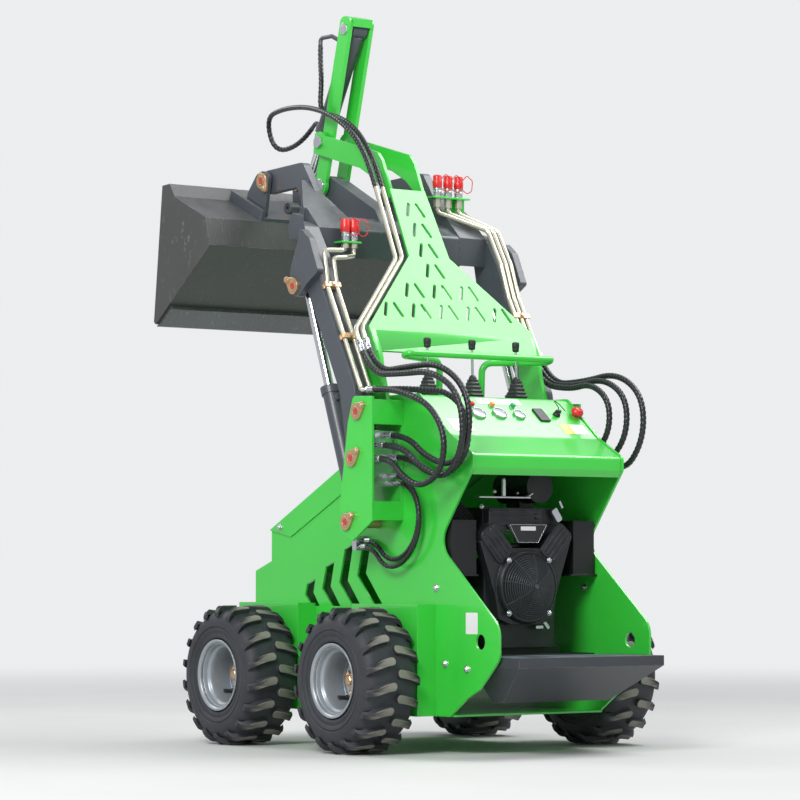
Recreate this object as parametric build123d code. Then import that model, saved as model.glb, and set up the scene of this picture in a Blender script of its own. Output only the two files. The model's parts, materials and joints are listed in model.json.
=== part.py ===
from build123d import *
import os
from math import acos, asin, atan2, cos, degrees, hypot, radians, sin, tan

# Stand-behind mini skid steer loader with raised self-levelling loader arms and a dirt bucket.
# Millimetres. Worked out with x = 0 at the rear axle, +X forward, +Y left, z = 0 on the ground;
# at the end everything moves along X so that the origin lies under the middle of the machine.

os.makedirs("parts", exist_ok=True)

# driving sizes
# wheels
wheelbase = 664.0
tyre_radius = 228.5
tyre_width = 200.0
tyre_sides = 36            # flats round the carcass
lug_pairs = 18
lug_height = 17.0
lug_edge = 31.0            # outer corner of a lug's tread from its middle
track_half = 485.0         # wheel centre plane from the middle of the machine
rim_radius = 117.0         # over the rim flange
rim_seat = 103.0           # bead seat, where the tyre sits
rim_wall = 5.0
hub_radius = 46.0
wheel_nuts = 5

# chassis plates
plate = 8.0                # side plates, towers, arms' thin plates
sheet = 5.0                # console, hood, belly
side_outer = 302.0         # outer face of the side plates
side_inner = side_outer - plate
belly_z = 118.0
tower_outer = 424.0        # outer face of the towers' outer plates
tower_inner = tower_outer - plate
drive_box_outer = 372.0
fan_height = 520.0
fan_ring_r = 115.0

# pivots at rest: x, z
link_pivot = (79.0, 1076.0)
arm_pivot = (107.0, 928.0)
lift_base = (137.0, 726.0)
lift_eye = (432.0, 1501.0)
bucket_pivot = (842.0, 1899.0)
crank_top = (696.0, 2425.0)
tilt_eye = (985.0, 1915.0)
level_offset = (link_pivot[0] - arm_pivot[0], link_pivot[1] - arm_pivot[1])
crank_pin = (bucket_pivot[0] + level_offset[0], bucket_pivot[1] + level_offset[1])

pin_r = 20.0               # tower, lift and bucket pins
small_pin_r = 15.0         # crank and tilt cylinder pins
fit = 0.05                 # radial running clearance of every pin
flange_r = 27.0             # brass keeper plates on the pins
flange_t = 9.0
keeper_r = 10.0            # rounding of a keeper's ear
keeper_len = 38.0          # from the pin to the bolt in the ear

# loader arms, all as distances from the middle plane
arm_in, arm_out = 345.0, 405.0
ear_in, ear_out = 405.0, 430.0
nose_in, nose_out = 235.0, 265.0
link_in, link_out = 315.0, 330.0
crank_in, crank_out = 36.0, 50.0
fork_in, fork_out = 60.0, 72.0
crank_half, crank_over = 31.0, 44.0   # half width of its bars and their length past the top pin
boss_half = 31.0           # crank boss on the arms
quick_ear_in, quick_ear_out = 271.0, 286.0
quick_half = 310.0

# cylinders
lift_y = 378.0
lift_barrel_r, lift_rod_r, lift_stroke, lift_gland = 31.0, 16.0, 267.0, 92.0
tilt_barrel_r, tilt_rod_r, tilt_stroke, tilt_gland = 31.0, 17.0, 148.0, 54.0

# bucket
bucket_half = 520.0
bucket_side = 10.0
bucket_skin = 6.0
edge_t = 14.0              # bolted cutting edge
edge_len = 100.0

# tubes, hoses and their couplers
tube_r = 7.5
hose_r = 10.0
tilt_hose_r = 9.0
small_hose_r = 7.5
coupler_r = 11.0


# helpers
def slab(outline, y0, y1):
    """Plate in the XZ plane from y0 to y1. outline rows: x, z, corner radius (0 when left out)."""
    rows = [(*row, 0)[:3] for row in outline]
    wire = FilletPolyline(
        *[(x, y0, z) for x, z, _ in rows], radius=[r for _, _, r in rows], close=True
    )
    return extrude(make_face(wire), amount=y1 - y0, dir=(0, 1, 0))


def rod_y(centre, radius, y0, y1):
    """Round bar along Y at (x, z)."""
    return Plane(origin=(centre[0], y0, centre[1]), z_dir=(0, 1, 0)) * Cylinder(
        radius, y1 - y0, align=(Align.CENTER, Align.CENTER, Align.MIN)
    )


def bar(p, q, radius):
    """Round bar from point p to point q."""
    axis = Vector(*q) - Vector(*p)
    return Plane(origin=p, z_dir=axis) * Cylinder(
        radius, axis.length, align=(Align.CENTER, Align.CENTER, Align.MIN)
    )


def block(x0, x1, y0, y1, z0, z1):
    return Pos((x0 + x1) / 2, (y0 + y1) / 2, (z0 + z1) / 2) * Box(x1 - x0, y1 - y0, z1 - z0)


def both(part):
    """The same piece on the right-hand side."""
    return mirror(part, about=Plane.XZ)


def tapered(a, ra, b, rb, y0, y1):
    """Flat plate round two points, with its sides tangent to both round ends."""
    lean = atan2(b[1] - a[1], b[0] - a[0])
    open_by = acos((ra - rb) / hypot(b[0] - a[0], b[1] - a[1]))
    corners = [(p[0] + r * cos(lean + turn), p[1] + r * sin(lean + turn))
               for p, r, turn in ((a, ra, open_by), (b, rb, open_by), (b, rb, -open_by), (a, ra, -open_by))]
    return slab(corners, y0, y1) + rod_y(a, ra, y0, y1) + rod_y(b, rb, y0, y1)


def keeper(centre, ear_turn, y0):
    """Pin's flange on a plate at y0, its ear and bolt turned from +X towards +Z by ear_turn degrees."""
    ear = (centre[0] + keeper_len * cos(radians(ear_turn)), centre[1] + keeper_len * sin(radians(ear_turn)))
    plate_part = tapered(centre, flange_r, ear, keeper_r, y0, y0 + flange_t)
    return plate_part + rod_y(ear, keeper_r * 0.7, y0, y0 + flange_t + 5)


def hexagon(centre, across, y0, y1):
    return extrude(Plane(origin=(centre[0], y0, centre[1]), z_dir=(0, 1, 0)) * RegularPolygon(across / 2,
                                                                                              6), y1 - y0)


def hexagon_z(x, y, z, across, height):
    return Pos(x, y, z) * extrude(RegularPolygon(across / 2, 6), height)


def pipe(points, radius, bends):
    """Round tube along points; bends: one radius for all its corners or one for each."""
    wire = FilletPolyline(*points, radius=bends)
    return sweep(Plane(origin=wire @ 0, z_dir=wire % 0) * Circle(radius), path=wire)


nodes = {}


def keep(name, *solids):
    """One node; several solids in it don't touch."""
    nodes[name] = solids[0] if len(solids) == 1 else Compound(list(solids))


# wheels
def ring_of_flats(radius, y):
    return Plane(origin=(0, y, 0), z_dir=(0, 1, 0)) * RegularPolygon(radius, tyre_sides)


def make_tyre():
    """Carcass of flat facets with slanting lugs; centred on the wheel's middle, axle along Y."""
    half = tyre_width / 2
    carcass_r = tyre_radius - lug_height
    # rows: distance from the wheel's middle plane, radius
    profile = [(-half + 16, 128), (-half, 168), (-half + 14, carcass_r - 6), (-half + 34, carcass_r),
               (half - 34, carcass_r), (half - 14, carcass_r - 6), (half, 168), (half - 16, 128)]
    carcass = loft([ring_of_flats(r, y) for y, r in profile], ruled=True)
    carcass -= rod_y((0, 0), rim_seat, -half, half)
    pitch = 360 / lug_pairs
    lug = loft(
        [
            Plane(origin=(0, 0, carcass_r - 8), z_dir=(0, 0, 1))
            * make_face(Polyline((-24, 14), (10, 14), (-6, 96), (-40, 96), close=True)),
            Plane(origin=(0, 0, (tyre_radius**2 - lug_edge**2) ** 0.5), z_dir=(0, 0, 1))
            * make_face(Polyline((-19, 17), (3, 17), (-9, 92), (-lug_edge, 92), close=True)),
        ],
        ruled=True,
    )
    other = Rot(0, pitch / 2, 0) * mirror(lug, about=Plane.XZ)
    lugs = [Rot(0, pitch * i, 0) * piece for i in range(lug_pairs) for piece in (lug, other)]
    return carcass + lugs


def make_rim():
    """Deep dished steel rim with its disc, hub flange, nuts and the stub of the wheel motor's shaft."""
    half = tyre_width / 2 - 5
    disc_y = -21.0             # inner face of the disc
    # rows: radius, distance from the middle plane; outline of the barrel's section
    bore = rim_seat - rim_wall
    barrel = [(rim_seat, -half + 8), (rim_radius, -half + 8), (rim_radius, -half), (bore, -half),
              (bore, -30),
              (bore - 6, -10), (bore - 6, 40), (bore, half - 30), (bore, half), (rim_radius, half),
              (rim_radius, half - 8), (rim_seat, half - 8)]
    section = make_face(Polyline(*[(r, y, 0) for r, y in barrel], close=True))
    rim = revolve(section, Axis.Y)
    rim += rod_y((0, 0), rim_seat - rim_wall / 2, disc_y, disc_y + 6)
    rim += rod_y((0, 0), hub_radius + 19, disc_y - 12, disc_y)
    rim += rod_y((0, 0), 34, disc_y + 6, disc_y + 22) + rod_y((0, 0), 20, disc_y + 22, disc_y + 40)
    rim += [
        Rot(0, 360 / wheel_nuts * i, 0) * rod_y((0, 52), 9, disc_y + 6,
                                                disc_y + 20) for i in range(wheel_nuts)
    ]
    rim += rod_y((0, 0), 30, motor_face - track_half + 0.4, disc_y - 12)
    return rim


motor_face = 398.0
# turned so that a lug's edge stands on the ground
tyre = Rot(0, degrees(asin(lug_edge / tyre_radius)), 0) * make_tyre()
rim = make_rim()
# rows: x of the axle, side
wheel_places = {
    "rear_left": (0, 1), "rear_right": (0, -1), "front_left": (wheelbase, 1), "front_right": (wheelbase, -1)}
for name, (x, side) in wheel_places.items():
    place = Pos(x, track_half, tyre_radius)
    for kind, shape in (("tyre", tyre), ("rim", rim)):
        piece = place * shape
        keep(f"{kind}_{name}", piece if side > 0 else both(piece))

# chassis
front_x = wheelbase + 93            # front end of the hood
bumper_x = wheelbase + 191
proud = 4.0                         # side plates stand out over the console's sheet
gap = 0.3
inside = side_inner - gap
console_top = 1127.0
# rows: x, z, fold radius; console's outer face from its rear lower edge over the panel to the hood
console_line = [
    (-350, 868, 0), (-362, 890, 12), (-362, 930, 16), (-249, 992, 60), (-83, console_top, 26),
    (154, console_top, 14), (182, 975, 0)]


def beside(line, distance):
    """Line rows moved to their right by that distance, with their fold radii to match."""
    points = [Vector(x, 0, z) for x, z, _ in line]
    runs = [(b - a).normalized() for a, b in zip(points, points[1:])]
    moved = []
    for i, (point, (_, _, r)) in enumerate(zip(points, line)):
        before, after = runs[max(i - 1, 0)], runs[min(i, len(runs) - 1)]
        right = Vector(before.Z, 0, -before.X)
        mean = (right + Vector(after.Z, 0, -after.X)).normalized()
        turns_right = before.Z * after.X - before.X * after.Z >= 0
        q = point + mean * (distance / mean.dot(right))
        moved.append((q.X, q.Z, max(r - (distance if turns_right else -distance), 0) if r else 0))
    return moved


def folded(line, thickness, half):
    """Sheet folded along Y. line rows: x, z, fold radius along its outer face, metal to its right."""
    rows = [(*row, 0)[:3] for row in line]
    return slab(rows + beside(rows, thickness)[::-1], -half, half)


# rows: x, z, corner radius; from the belly round the rear bulge, waist, console, hood and nose
side_outline = [
    (-244, belly_z), (-331, 176), (-398, 207, 15), (-497, 300, 40), (-497, 401, 70), (-186, 655, 64),
    *beside(console_line, -proud)[1:-1],
    (190, 970, 0), (front_x, 702, 0), (front_x, 603, 0), (bumper_x, 570, 8), (bumper_x, 330, 20),
    (front_x + 3, 318, 0), (front_x - 13, belly_z, 0)]
slot_width, slot_low, slot_lean = 50.0, 455.0, 0.27
# rows: x and z of the outer tip, z of the upper end
slots = [(557, 491, 534), (457, 511, 591), (359, 531, 648), (256, 554, 646)]


def chevron(tip_x, tip_z, top_z):
    """Arrow slot pointing forward, its lower arm at 45 degrees and its upper arm steeper."""
    high, low = top_z - tip_z, tip_z - slot_low
    back = tip_x - slot_width
    return slab([(tip_x, tip_z), (tip_x - slot_lean * high, top_z - 8),
                 (back - slot_lean * high, top_z + 10),
                 (back, tip_z + 8), (back - low, slot_low), (tip_x - low, slot_low)],
                side_inner - 1, side_outer + 1)


side_plate = slab(side_outline, side_inner, side_outer)
for tip_x, tip_z, top_z in slots:
    side_plate -= chevron(tip_x, tip_z, top_z)
tie_down, tie_down_r = (-402, 352), 24.0
side_plate -= rod_y(tie_down, tie_down_r, side_inner - 1, side_outer + 1)
tower_pivots = (link_pivot, arm_pivot, lift_base)
for pivot in tower_pivots:
    side_plate -= rod_y(pivot, pin_r + fit, side_inner - 1, side_outer + 1)
for x in (0, wheelbase):
    side_plate -= rod_y((x, tyre_radius), 60, side_inner - 1, side_outer + 1)
keep("side_plates", side_plate, both(side_plate))

# outer plate of a tower, and the wall behind it with the hoses' window
tower_rear, tower_low, tower_top = 0.0, 727.0, 1122.0
window_low, window_top = 790.0, 1033.0
tower = slab([(tower_rear, tower_top), (105, tower_top + 4, 18), (135, 1040, 60), (176, 797, 60),
              (178, 694, 15),
              (110, 664, 10), (tower_rear, tower_low)], tower_inner, tower_outer)
wall = block(tower_rear, tower_rear + plate, side_outer, tower_inner + plate / 2, tower_low + 3,
             tower_top - 10)
wall -= block(tower_rear - 1, tower_rear + plate + 1, side_outer + 6, tower_inner, window_low, window_top)
tower += wall
for pivot in tower_pivots:
    tower -= rod_y(pivot, pin_r + fit, tower_inner - 1, tower_outer + 1)
keep("towers", tower, both(tower))
tower_pins = [rod_y(pivot, pin_r, side_inner, tower_outer + flange_t / 2) + keeper(pivot, turn, tower_outer)
              for pivot, turn in zip(tower_pivots, (150, 146, 150))]
keep("tower_pins", *tower_pins, *[both(p) for p in tower_pins])

keep("console", folded(console_line, sheet, inside))
# the lid's skirts reach down outside the side plates, deeper towards the rear
lid_half = side_outer + gap + 4
lid = folded([(197, 975), (front_x + 4, 708)], 4, lid_half)
skirt = slab([(197, 971), (front_x + 2, 705), (front_x - 119, 683), (379, 802), (205, 885)],
             side_outer + gap, lid_half)
keep("hood_lid", lid + skirt + both(skirt))
keep("nose_cover", folded([(front_x - 6, 698), (front_x - 6, 600, 8), (bumper_x - 6, 567, 8),
                           (bumper_x - 6, 330)],
                          sheet, inside))
keep("belly_pan", block(-262, front_x - 13, -inside, inside, belly_z, belly_z + 6))

# boxes between the side plates and the tyres, open towards the wheels
box_back, box_front, box_top = 170.0, 185.0, 465.0
arch_r = 150.0
drive_box = block(box_front - 5, wheelbase - box_back + 5, side_outer, side_outer + 40, belly_z + 10, 320)
for x in (0, wheelbase):
    box = block(x - box_back, x + box_front, side_outer, drive_box_outer, belly_z, box_top)
    hollow = rod_y((x, tyre_radius), arch_r, side_outer + 8, drive_box_outer + 1)
    box -= hollow & block(x - arch_r, x + arch_r, side_outer, drive_box_outer + 2, belly_z + 8, box_top)
    box -= rod_y((x, tyre_radius), 60, side_outer - 1, drive_box_outer + 1)
    drive_box += box
keep("drive_boxes", drive_box, both(drive_box))

motors = [rod_y((x, tyre_radius), 58, side_inner - 120, motor_face)
          + rod_y((x, tyre_radius), 82, side_outer + 8, side_outer + 28) for x in (0, wheelbase)]
keep("wheel_motors", *motors, *[both(m) for m in motors])

# operator's step: flat tread with a turned-down rear edge on a body that narrows downwards
step_rear, step_front, step_top = -576.0, -330.0, 307.0
step_edge, step_lip = 276.0, 164.0
step_half, step_lip_half = 287.0, 211.0
tread = block(step_rear, step_front, -step_half, step_half, step_edge, step_top)
under = loft([
    Pos((step_rear + step_front) / 2, 0, step_edge) * Rectangle(step_front - step_rear, 2 * step_half),
    Pos((-398 + step_front - 16) / 2, 0, step_lip) * Rectangle(52, 2 * step_lip_half)], ruled=True)
keep("rear_step", tread + under)

deck_top = 307.0
keep("engine_deck", block(-225, 480, -inside, inside, deck_top - 8, deck_top))
# engine: crankcase with two finned cylinders in a V, and the fan's shroud at its rear
engine = block(-180, 100, -185, 185, deck_top, 330) + block(-210, 130, -140, 140, 328, 610)
for side in (-1, 1):
    for i in range(7):
        fin = Pos(-40, side * (150 + 13 * i), 560 + 13 * i) * (Rot(side * -45, 0, 0) * Box(150, 130, 5))
        engine += fin
    engine += Pos(-40, side * 195, 605) * (Rot(side * -45, 0, 0) * Box(120, 95, 170))
keep("engine_block", engine & block(-211, 131, -288, 288, deck_top, 700))
shroud = block(-250, -210 - gap, -135, 135, 400, 690)
shroud += bar((-249, 0, fan_height), (-272, 0, fan_height), fan_ring_r)
shroud -= bar((-262, 0, fan_height), (-273, 0, fan_height), fan_ring_r - 9)
spokes = [Pos(-267, 0, fan_height) * (Rot(30 * i, 0, 0) * Box(10, 6, 2 * fan_ring_r - 10)) for i in range(6)]
keep("engine_shroud", shroud + spokes)
keep("engine_cover", block(-215, 120, -150, 150, 700 + gap, 770),
     bar((-200, -92, 838), (-20, -92, 838), 52) + block(-130, -60, -120, -64, 770 + gap, 800))
battery_top = 730.0
tray = block(-240, -120, 186, inside, 554, 560 - gap)
keep("engine_boxes", block(-235, -130, 190, 285, 560, battery_top),
     block(-235, -130, -285, -200, 560, battery_top),
     tray, both(tray))

# handle bar and controls on the console
handle_r = 11.0
seat = console_top + gap
post_x, post_y, grip_z, grip_y = 102.0, 86.0, 1256.0, 290.0
handle_half = [(post_x, post_y, seat + 6), (post_x - 5, post_y, grip_z - 6), (14, grip_y, grip_z),
               (-16, grip_y, grip_z + 7)]
handle_path = handle_half + [(x, -y, z) for x, y, z in reversed(handle_half)]
handle = pipe(handle_path, handle_r, [34, 14, 14, 14, 14, 34])
handle += [block(post_x - 20, post_x + 20, y - 18, y + 18, seat, seat + 7) for y in (-post_y, post_y)]
keep("handle_bar", handle)
lever_x, lever_z = 34.0, 1290.0
lever_places = (-180.0, 0.0, 180.0)
boots, levers = [], []
for y in lever_places:
    boots.append(loft([Pos(lever_x, y, seat) * Rectangle(70, 66),
                       Pos(lever_x, y, seat + 62) * Rectangle(30, 30)],
                      ruled=True))
    levers.append(bar((lever_x, y, seat + 62 + gap), (lever_x + 4, y, lever_z), 6)
                  + bar((lever_x + 4, y, lever_z - 4), (lever_x + 4, y, lever_z + 30), 13))
keep("control_levers", *boots, *levers)

# instruments stand on the sloping panel
panel_low, panel_high = Vector(-249, 0, 992), Vector(-83, 0, console_top)
panel = Plane(origin=panel_low, x_dir=(0, -1, 0), z_dir=(panel_high - panel_low).cross(Vector(0, 1, 0)))
panel_len = (panel_high - panel_low).length
# rows: distance to the left of the middle, distance up the panel, radius, height
dials = [(122, 118, 26, 9), (36, 122, 26, 9), (-41, 118, 22, 9)]
lamps = [(122, 166, 7, 8), (41, 167, 7, 8), (-42, 166, 7, 8)]
knobs = [(151, 143, 8, 16), (-129, 122, 20, 6), (-200, 128, 13, 20), (-278, 127, 11, 22)]


def on_panel(rows):
    return [panel * Pos(-y, up, gap) * Cylinder(r, h, align=(Align.CENTER, Align.CENTER, Align.MIN))
            for y, up, r, h in rows]


keep("instruments", *on_panel(dials + lamps + knobs))

# loader arms
leg_outline = [(66, 905, 0), (78, 1000, 30), (110, 1078, 0), (128, 1165, 60), (305, 1482, 80),
               (350, 1600, 60),
               (416, 1700, 15), (470, 1724, 8), (488, 1672, 8), (455, 1570, 40), (380, 1465, 60),
               (205, 1140, 80),
               (160, 905, 0)]
# the legs' upper ends and the corners of the upper frame share one slanting face
bevel_foot, bevel_end = (410.0, arm_out), (640.0, nose_out)
bevel = Pos(0, 0, 1600) * extrude(make_face(Polyline(
    bevel_foot, bevel_end, (800, nose_out), (800, arm_out + 40), (bevel_foot[0], arm_out + 40),
    close=True)), 400)
arm = slab(leg_outline, arm_in, arm_out) + rod_y(arm_pivot, 48, arm_in, arm_out)
arm -= rod_y(arm_pivot, pin_r + fit, arm_in - 1, arm_out + 1)
arm -= bevel
eye_x, eye_z = lift_eye
inner_ear = slab([(330, 1500), (eye_x - 30, 1465, 20), (eye_x + 36, eye_z - 18, 30), (470, 1560, 20),
                  (488, 1640, 0),
                  (380, 1600, 0)], arm_in, arm_in + 8)
outer_ear = slab([(295, 1541, 10), (364, 1502, 20), (eye_x - 18, 1464, 20), (eye_x + 38, eye_z - 22, 36),
                  (452, 1570, 40), (412, 1650, 40), (400, 1692, 10), (346, 1650, 10)], ear_in, ear_out)
arm += inner_ear
arm += outer_ear
arm -= rod_y(lift_eye, 38, arm_in + 8, ear_in)
keep("arm_legs", arm, both(arm))
# the rods' pins are their keepers only, since a rod's eye drifts a little between its ears
rod_head = keeper(lift_eye, 35, ear_out)
keep("lift_eye_pins", rod_head, both(rod_head))

beam_outline = [(420, 1605), (418, 1700, 15), (480, 1735, 10), (572, 1762, 10), (600, 1715, 10), (590, 1676),
                (486, 1676)]
upper = slab(beam_outline, -arm_in, arm_in)
corner = slab([(420, 1605), (416, 1700), (600, 1880, 10), (660, 1862, 10), (640, 1812, 10), (600, 1720),
               (590, 1676),
               (486, 1676)], nose_in, arm_out) - bevel
corner -= slab([(400, 1500), (400, 1800), (488, 1800), (488, 1500)], arm_in - gap, arm_out + 1)
nose = slab([(470, 1700, 0), (567, 1853, 20), (632, 1943, 25), (866, 1936, 36), (890, 1880, 30),
             (850, 1856, 30),
             (663, 1862, 20), (640, 1812, 20), (598, 1720, 0)], nose_in, nose_out)
upper += [corner, both(corner), nose, both(nose)]
upper += slab([(470, 1690), (540, 1790, 30), (812, 1930, 20), (860, 1880, 20), (600, 1715, 0)],
              -boss_half, boss_half)
upper += rod_y(bucket_pivot, 37, -boss_half, boss_half)
for y in (-nose_out, nose_in, -boss_half):
    upper -= rod_y(bucket_pivot, pin_r + fit, y - 1, y + 70)
keep("upper_frame", upper)

# level link
plate_low, plate_top = (99.0, 1275.0), (394.0, 1844.0)
plate_dir = Vector(plate_top[0] - plate_low[0], 0, plate_top[1] - plate_low[1])
plate_len = plate_dir.length
plate_plane = Plane(origin=(plate_low[0], 0, plate_low[1]), x_dir=(0, -1, 0),
                    z_dir=plate_dir.cross(Vector(0, 1, 0)))
# rows: distance up the plate, half width
link_widths = [(0, 335), (94, 335), (375, 83), (plate_len, fork_out)]
link_edge = [(w, s) for s, w in link_widths]
link_face = make_face(Polyline(*link_edge, *[(-w, s) for w, s in reversed(link_edge)], close=True))
link_plate = extrude(plate_plane * link_face, amount=-plate)
side_link = slab([(42, 1076), (60, 1140), (84, 1210, 60), (92, 1262), (135, 1345), (196, 1373, 10),
                  (196, 1215, 60),
                  (118, 1076)], link_in, link_out)
side_link += rod_y(link_pivot, 40, link_in, link_out)
side_link -= rod_y(link_pivot, pin_r + fit, link_in - 1, link_out + 1)
dx, dz = crank_pin
fork = slab([(386, 1822), (442, 1944, 20), (470, 1975, 25), (dx + 26, dz + 34), (dx + 36, dz - 34),
             (dx - 124, dz - 82, 60), (570, 1931, 60), (490, 1889, 40), (400, 1812)], fork_in, fork_out)
fork += rod_y(crank_pin, 36, fork_in, fork_out)
fork -= rod_y(crank_pin, small_pin_r + fit, fork_in - 1, fork_out + 1)
keep("level_link", link_plate + [side_link, both(side_link), fork, both(fork)])

# level crank and tilt cylinder
crank_len = hypot(crank_top[0] - bucket_pivot[0], crank_top[1] - bucket_pivot[1])
cx, cz = (crank_top[0] - bucket_pivot[0]) / crank_len, (crank_top[1] - bucket_pivot[1]) / crank_len


def along_crank(s, d, r=0):
    """Point s up the crank from its lower pivot and d to its rear, with a corner radius."""
    return (bucket_pivot[0] + cx * s - cz * d, bucket_pivot[1] + cz * s + cx * d, r)


crank_end = crank_len + crank_over
top_head = fork_in - crank_out - 5         # the fork's plates swing past the top pin's heads
half_bar = slab([along_crank(0, -crank_half), along_crank(crank_end, -crank_half, 24),
                 along_crank(crank_end, crank_half, 24), along_crank(0, crank_half)], crank_in, crank_out)
half_bar += rod_y(bucket_pivot, crank_half + 4, crank_in, crank_out)
half_bar += rod_y(crank_pin, crank_half + 6, crank_in, crank_out)
# folded bridge over the cylinder's eye, with its rear flange hanging down
bridge = slab([along_crank(crank_end - 6, -crank_half + 10), along_crank(crank_end, -crank_half + 10),
               along_crank(crank_end, crank_half + 5), along_crank(crank_len + 15, crank_half + 5),
               along_crank(crank_len + 15, crank_half - 1), along_crank(crank_end - 6, crank_half - 1)],
              -crank_in - 2, crank_in + 2)
crank = half_bar + [both(half_bar), bridge]
for centre, r in ((bucket_pivot, pin_r), (crank_pin, small_pin_r), (crank_top, small_pin_r)):
    crank -= rod_y(centre, r + fit, -crank_out - 1, crank_out + 1)
keep("level_crank", crank)
link_pin = rod_y(crank_pin, small_pin_r, crank_in, fork_out) + hexagon(crank_pin, 46, fork_out,
                                                                       fork_out + 10)
keep("crank_pins", link_pin, both(link_pin),
     rod_y(bucket_pivot, pin_r, -crank_out, crank_out) + rod_y(bucket_pivot, 24, crank_out, crank_out + 4),
     rod_y(crank_top, small_pin_r, -crank_out, crank_out)
     + hexagon(crank_top, 44, crank_out, crank_out + top_head)
     + hexagon(crank_top, 44, -crank_out - top_head, -crank_out))


def cylinder(base, eye, y, half, barrel_r, rod_r, stroke, gland, pin, ports):
    """Hydraulic cylinder from its base pin to its rod's eye; the rod runs inside the hollow barrel.

    gland is what stays out of the barrel with the rod right in, from the barrel's end to the rod's
    pin. ports rows: distance from the base pin, turn round the axis from +Y in degrees.
    """
    n = hypot(eye[0] - base[0], eye[1] - base[1])
    ux, uz = (eye[0] - base[0]) / n, (eye[1] - base[1]) / n
    barrel_len = n - stroke - gland

    def at(s, out=0.0, turn=0.0):
        side, rise = out * cos(radians(turn)), out * sin(radians(turn))
        return (base[0] + ux * s - uz * rise, y + side, base[1] + uz * s + ux * rise)

    bore_end = barrel_r + 14
    barrel = bar(at(pin + 3), at(barrel_len), barrel_r) + rod_y(base, barrel_r - 2, y - half, y + half)
    barrel += bar(at(barrel_len - 26), at(barrel_len), barrel_r + 4)
    for s, turn in ports:
        barrel += bar(at(s, rod_r + 3, turn), at(s, barrel_r + 14, turn), 11)
    barrel -= rod_y(base, pin + fit, y - half - 1, y + half + 1)
    barrel -= bar(at(bore_end), at(barrel_len + 1), rod_r + gap)
    rod = bar(at(bore_end + stroke + 8), at(n - 12), rod_r)
    rod += rod_y(eye, barrel_r - 4, y - half, y + half)
    return barrel, rod


lift_len = hypot(lift_eye[0] - lift_base[0], lift_eye[1] - lift_base[1])
lift_barrel, lift_rod = cylinder(lift_base, lift_eye, lift_y, 17, lift_barrel_r - 4, lift_rod_r, lift_stroke,
                                 lift_gland, pin_r, [(62, 90),
                                                     (lift_len - lift_stroke - lift_gland - 50, 90)])
for side, turn in (("left", lambda p: p), ("right", both)):
    keep(f"lift_barrel_{side}", turn(lift_barrel))
    keep(f"lift_rod_{side}", turn(lift_rod))
tilt_len = hypot(tilt_eye[0] - crank_top[0], tilt_eye[1] - crank_top[1])
tilt_body = tilt_len - tilt_stroke - tilt_gland
tilt_barrel, tilt_rod = cylinder(crank_top, tilt_eye, 0, 28, tilt_barrel_r, tilt_rod_r, tilt_stroke,
                                 tilt_gland,
                                 small_pin_r, [])
# steel elbows at the tilt cylinder's two ports; each ends along its hose
upper_elbow = [(728, 14, 2377), (790, 36, 2414.8), (847.7, 43.8, 2414.8), (845.3, 45.8, 2388.3)]
lower_elbow = [(880, 14, 2106), (912, 18, 2130.4), (935, 20, 2112)]
for route in (upper_elbow, lower_elbow):
    elbow = pipe(route, tube_r, 11)
    tilt_barrel += elbow - bar((crank_top[0], 0, crank_top[1]), (tilt_eye[0], 0, tilt_eye[1]),
                               tilt_rod_r + 4)
keep("tilt_barrel", tilt_barrel)
keep("tilt_rod", tilt_rod)

# quick attach
back_low, back_top = (820.0, 1757.0), (1018.0, 1847.0)     # the bucket's flat back
quick_t = 37.0
quick_len = hypot(back_top[0] - back_low[0], back_top[1] - back_low[1])
qx, qz = (back_top[0] - back_low[0]) / quick_len, (back_top[1] - back_low[1]) / quick_len
quick_low = (back_low[0] - qz * quick_t, back_low[1] + qx * quick_t)


def on_quick(s, d):
    """Point s along the plate from its low end and d behind its rear face."""
    return (quick_low[0] + qx * s - qz * d, quick_low[1] + qz * s + qx * d)


fx, fz = bucket_pivot
rx, rz = tilt_eye
quick = slab([on_quick(0, -quick_t), on_quick(quick_len, -quick_t), on_quick(quick_len, 12 - quick_t),
              on_quick(0, 12 - quick_t)], -quick_half, quick_half)
rail = slab([on_quick(0, 11 - quick_t), on_quick(quick_len, 11 - quick_t), on_quick(quick_len, 0),
             on_quick(0, 0)],
            quick_half - 14, quick_half)
ear = slab([on_quick(20, 11 - quick_t), on_quick(150, 11 - quick_t), on_quick(150, 20),
            (fx + 38, fz + 26, 30),
            (fx, fz + 36, 30), (fx - 36, fz + 16, 20)], quick_ear_in, quick_ear_out)
ear -= rod_y(bucket_pivot, pin_r + fit, quick_ear_in - 1, quick_ear_out + 1)
rod_ear_in, rod_ear_out = 34.0, 48.0
rod_ear = slab([on_quick(165, 11 - quick_t), on_quick(quick_len, 11 - quick_t), (rx + 31, rz, 20),
                (rx, rz + 28, 28),
                (rx - 29, rz, 20)], rod_ear_in, rod_ear_out)
boss = rod_y((813, 1808), 20, 165, 205) - rod_y((813, 1808), 8, 190, 206)
for piece in (rail, ear, rod_ear, boss):
    quick += [piece, both(piece)]
keep("quick_attach", quick)
pivot_pin = rod_y(bucket_pivot, pin_r, nose_in, quick_ear_out + flange_t / 2) + keeper(bucket_pivot, 235,
                                                                                       quick_ear_out)
tilt_head = rod_y(tilt_eye, 20, rod_ear_out, rod_ear_out + 8)
keep("bucket_pins", pivot_pin, both(pivot_pin), tilt_head, both(tilt_head))

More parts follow.
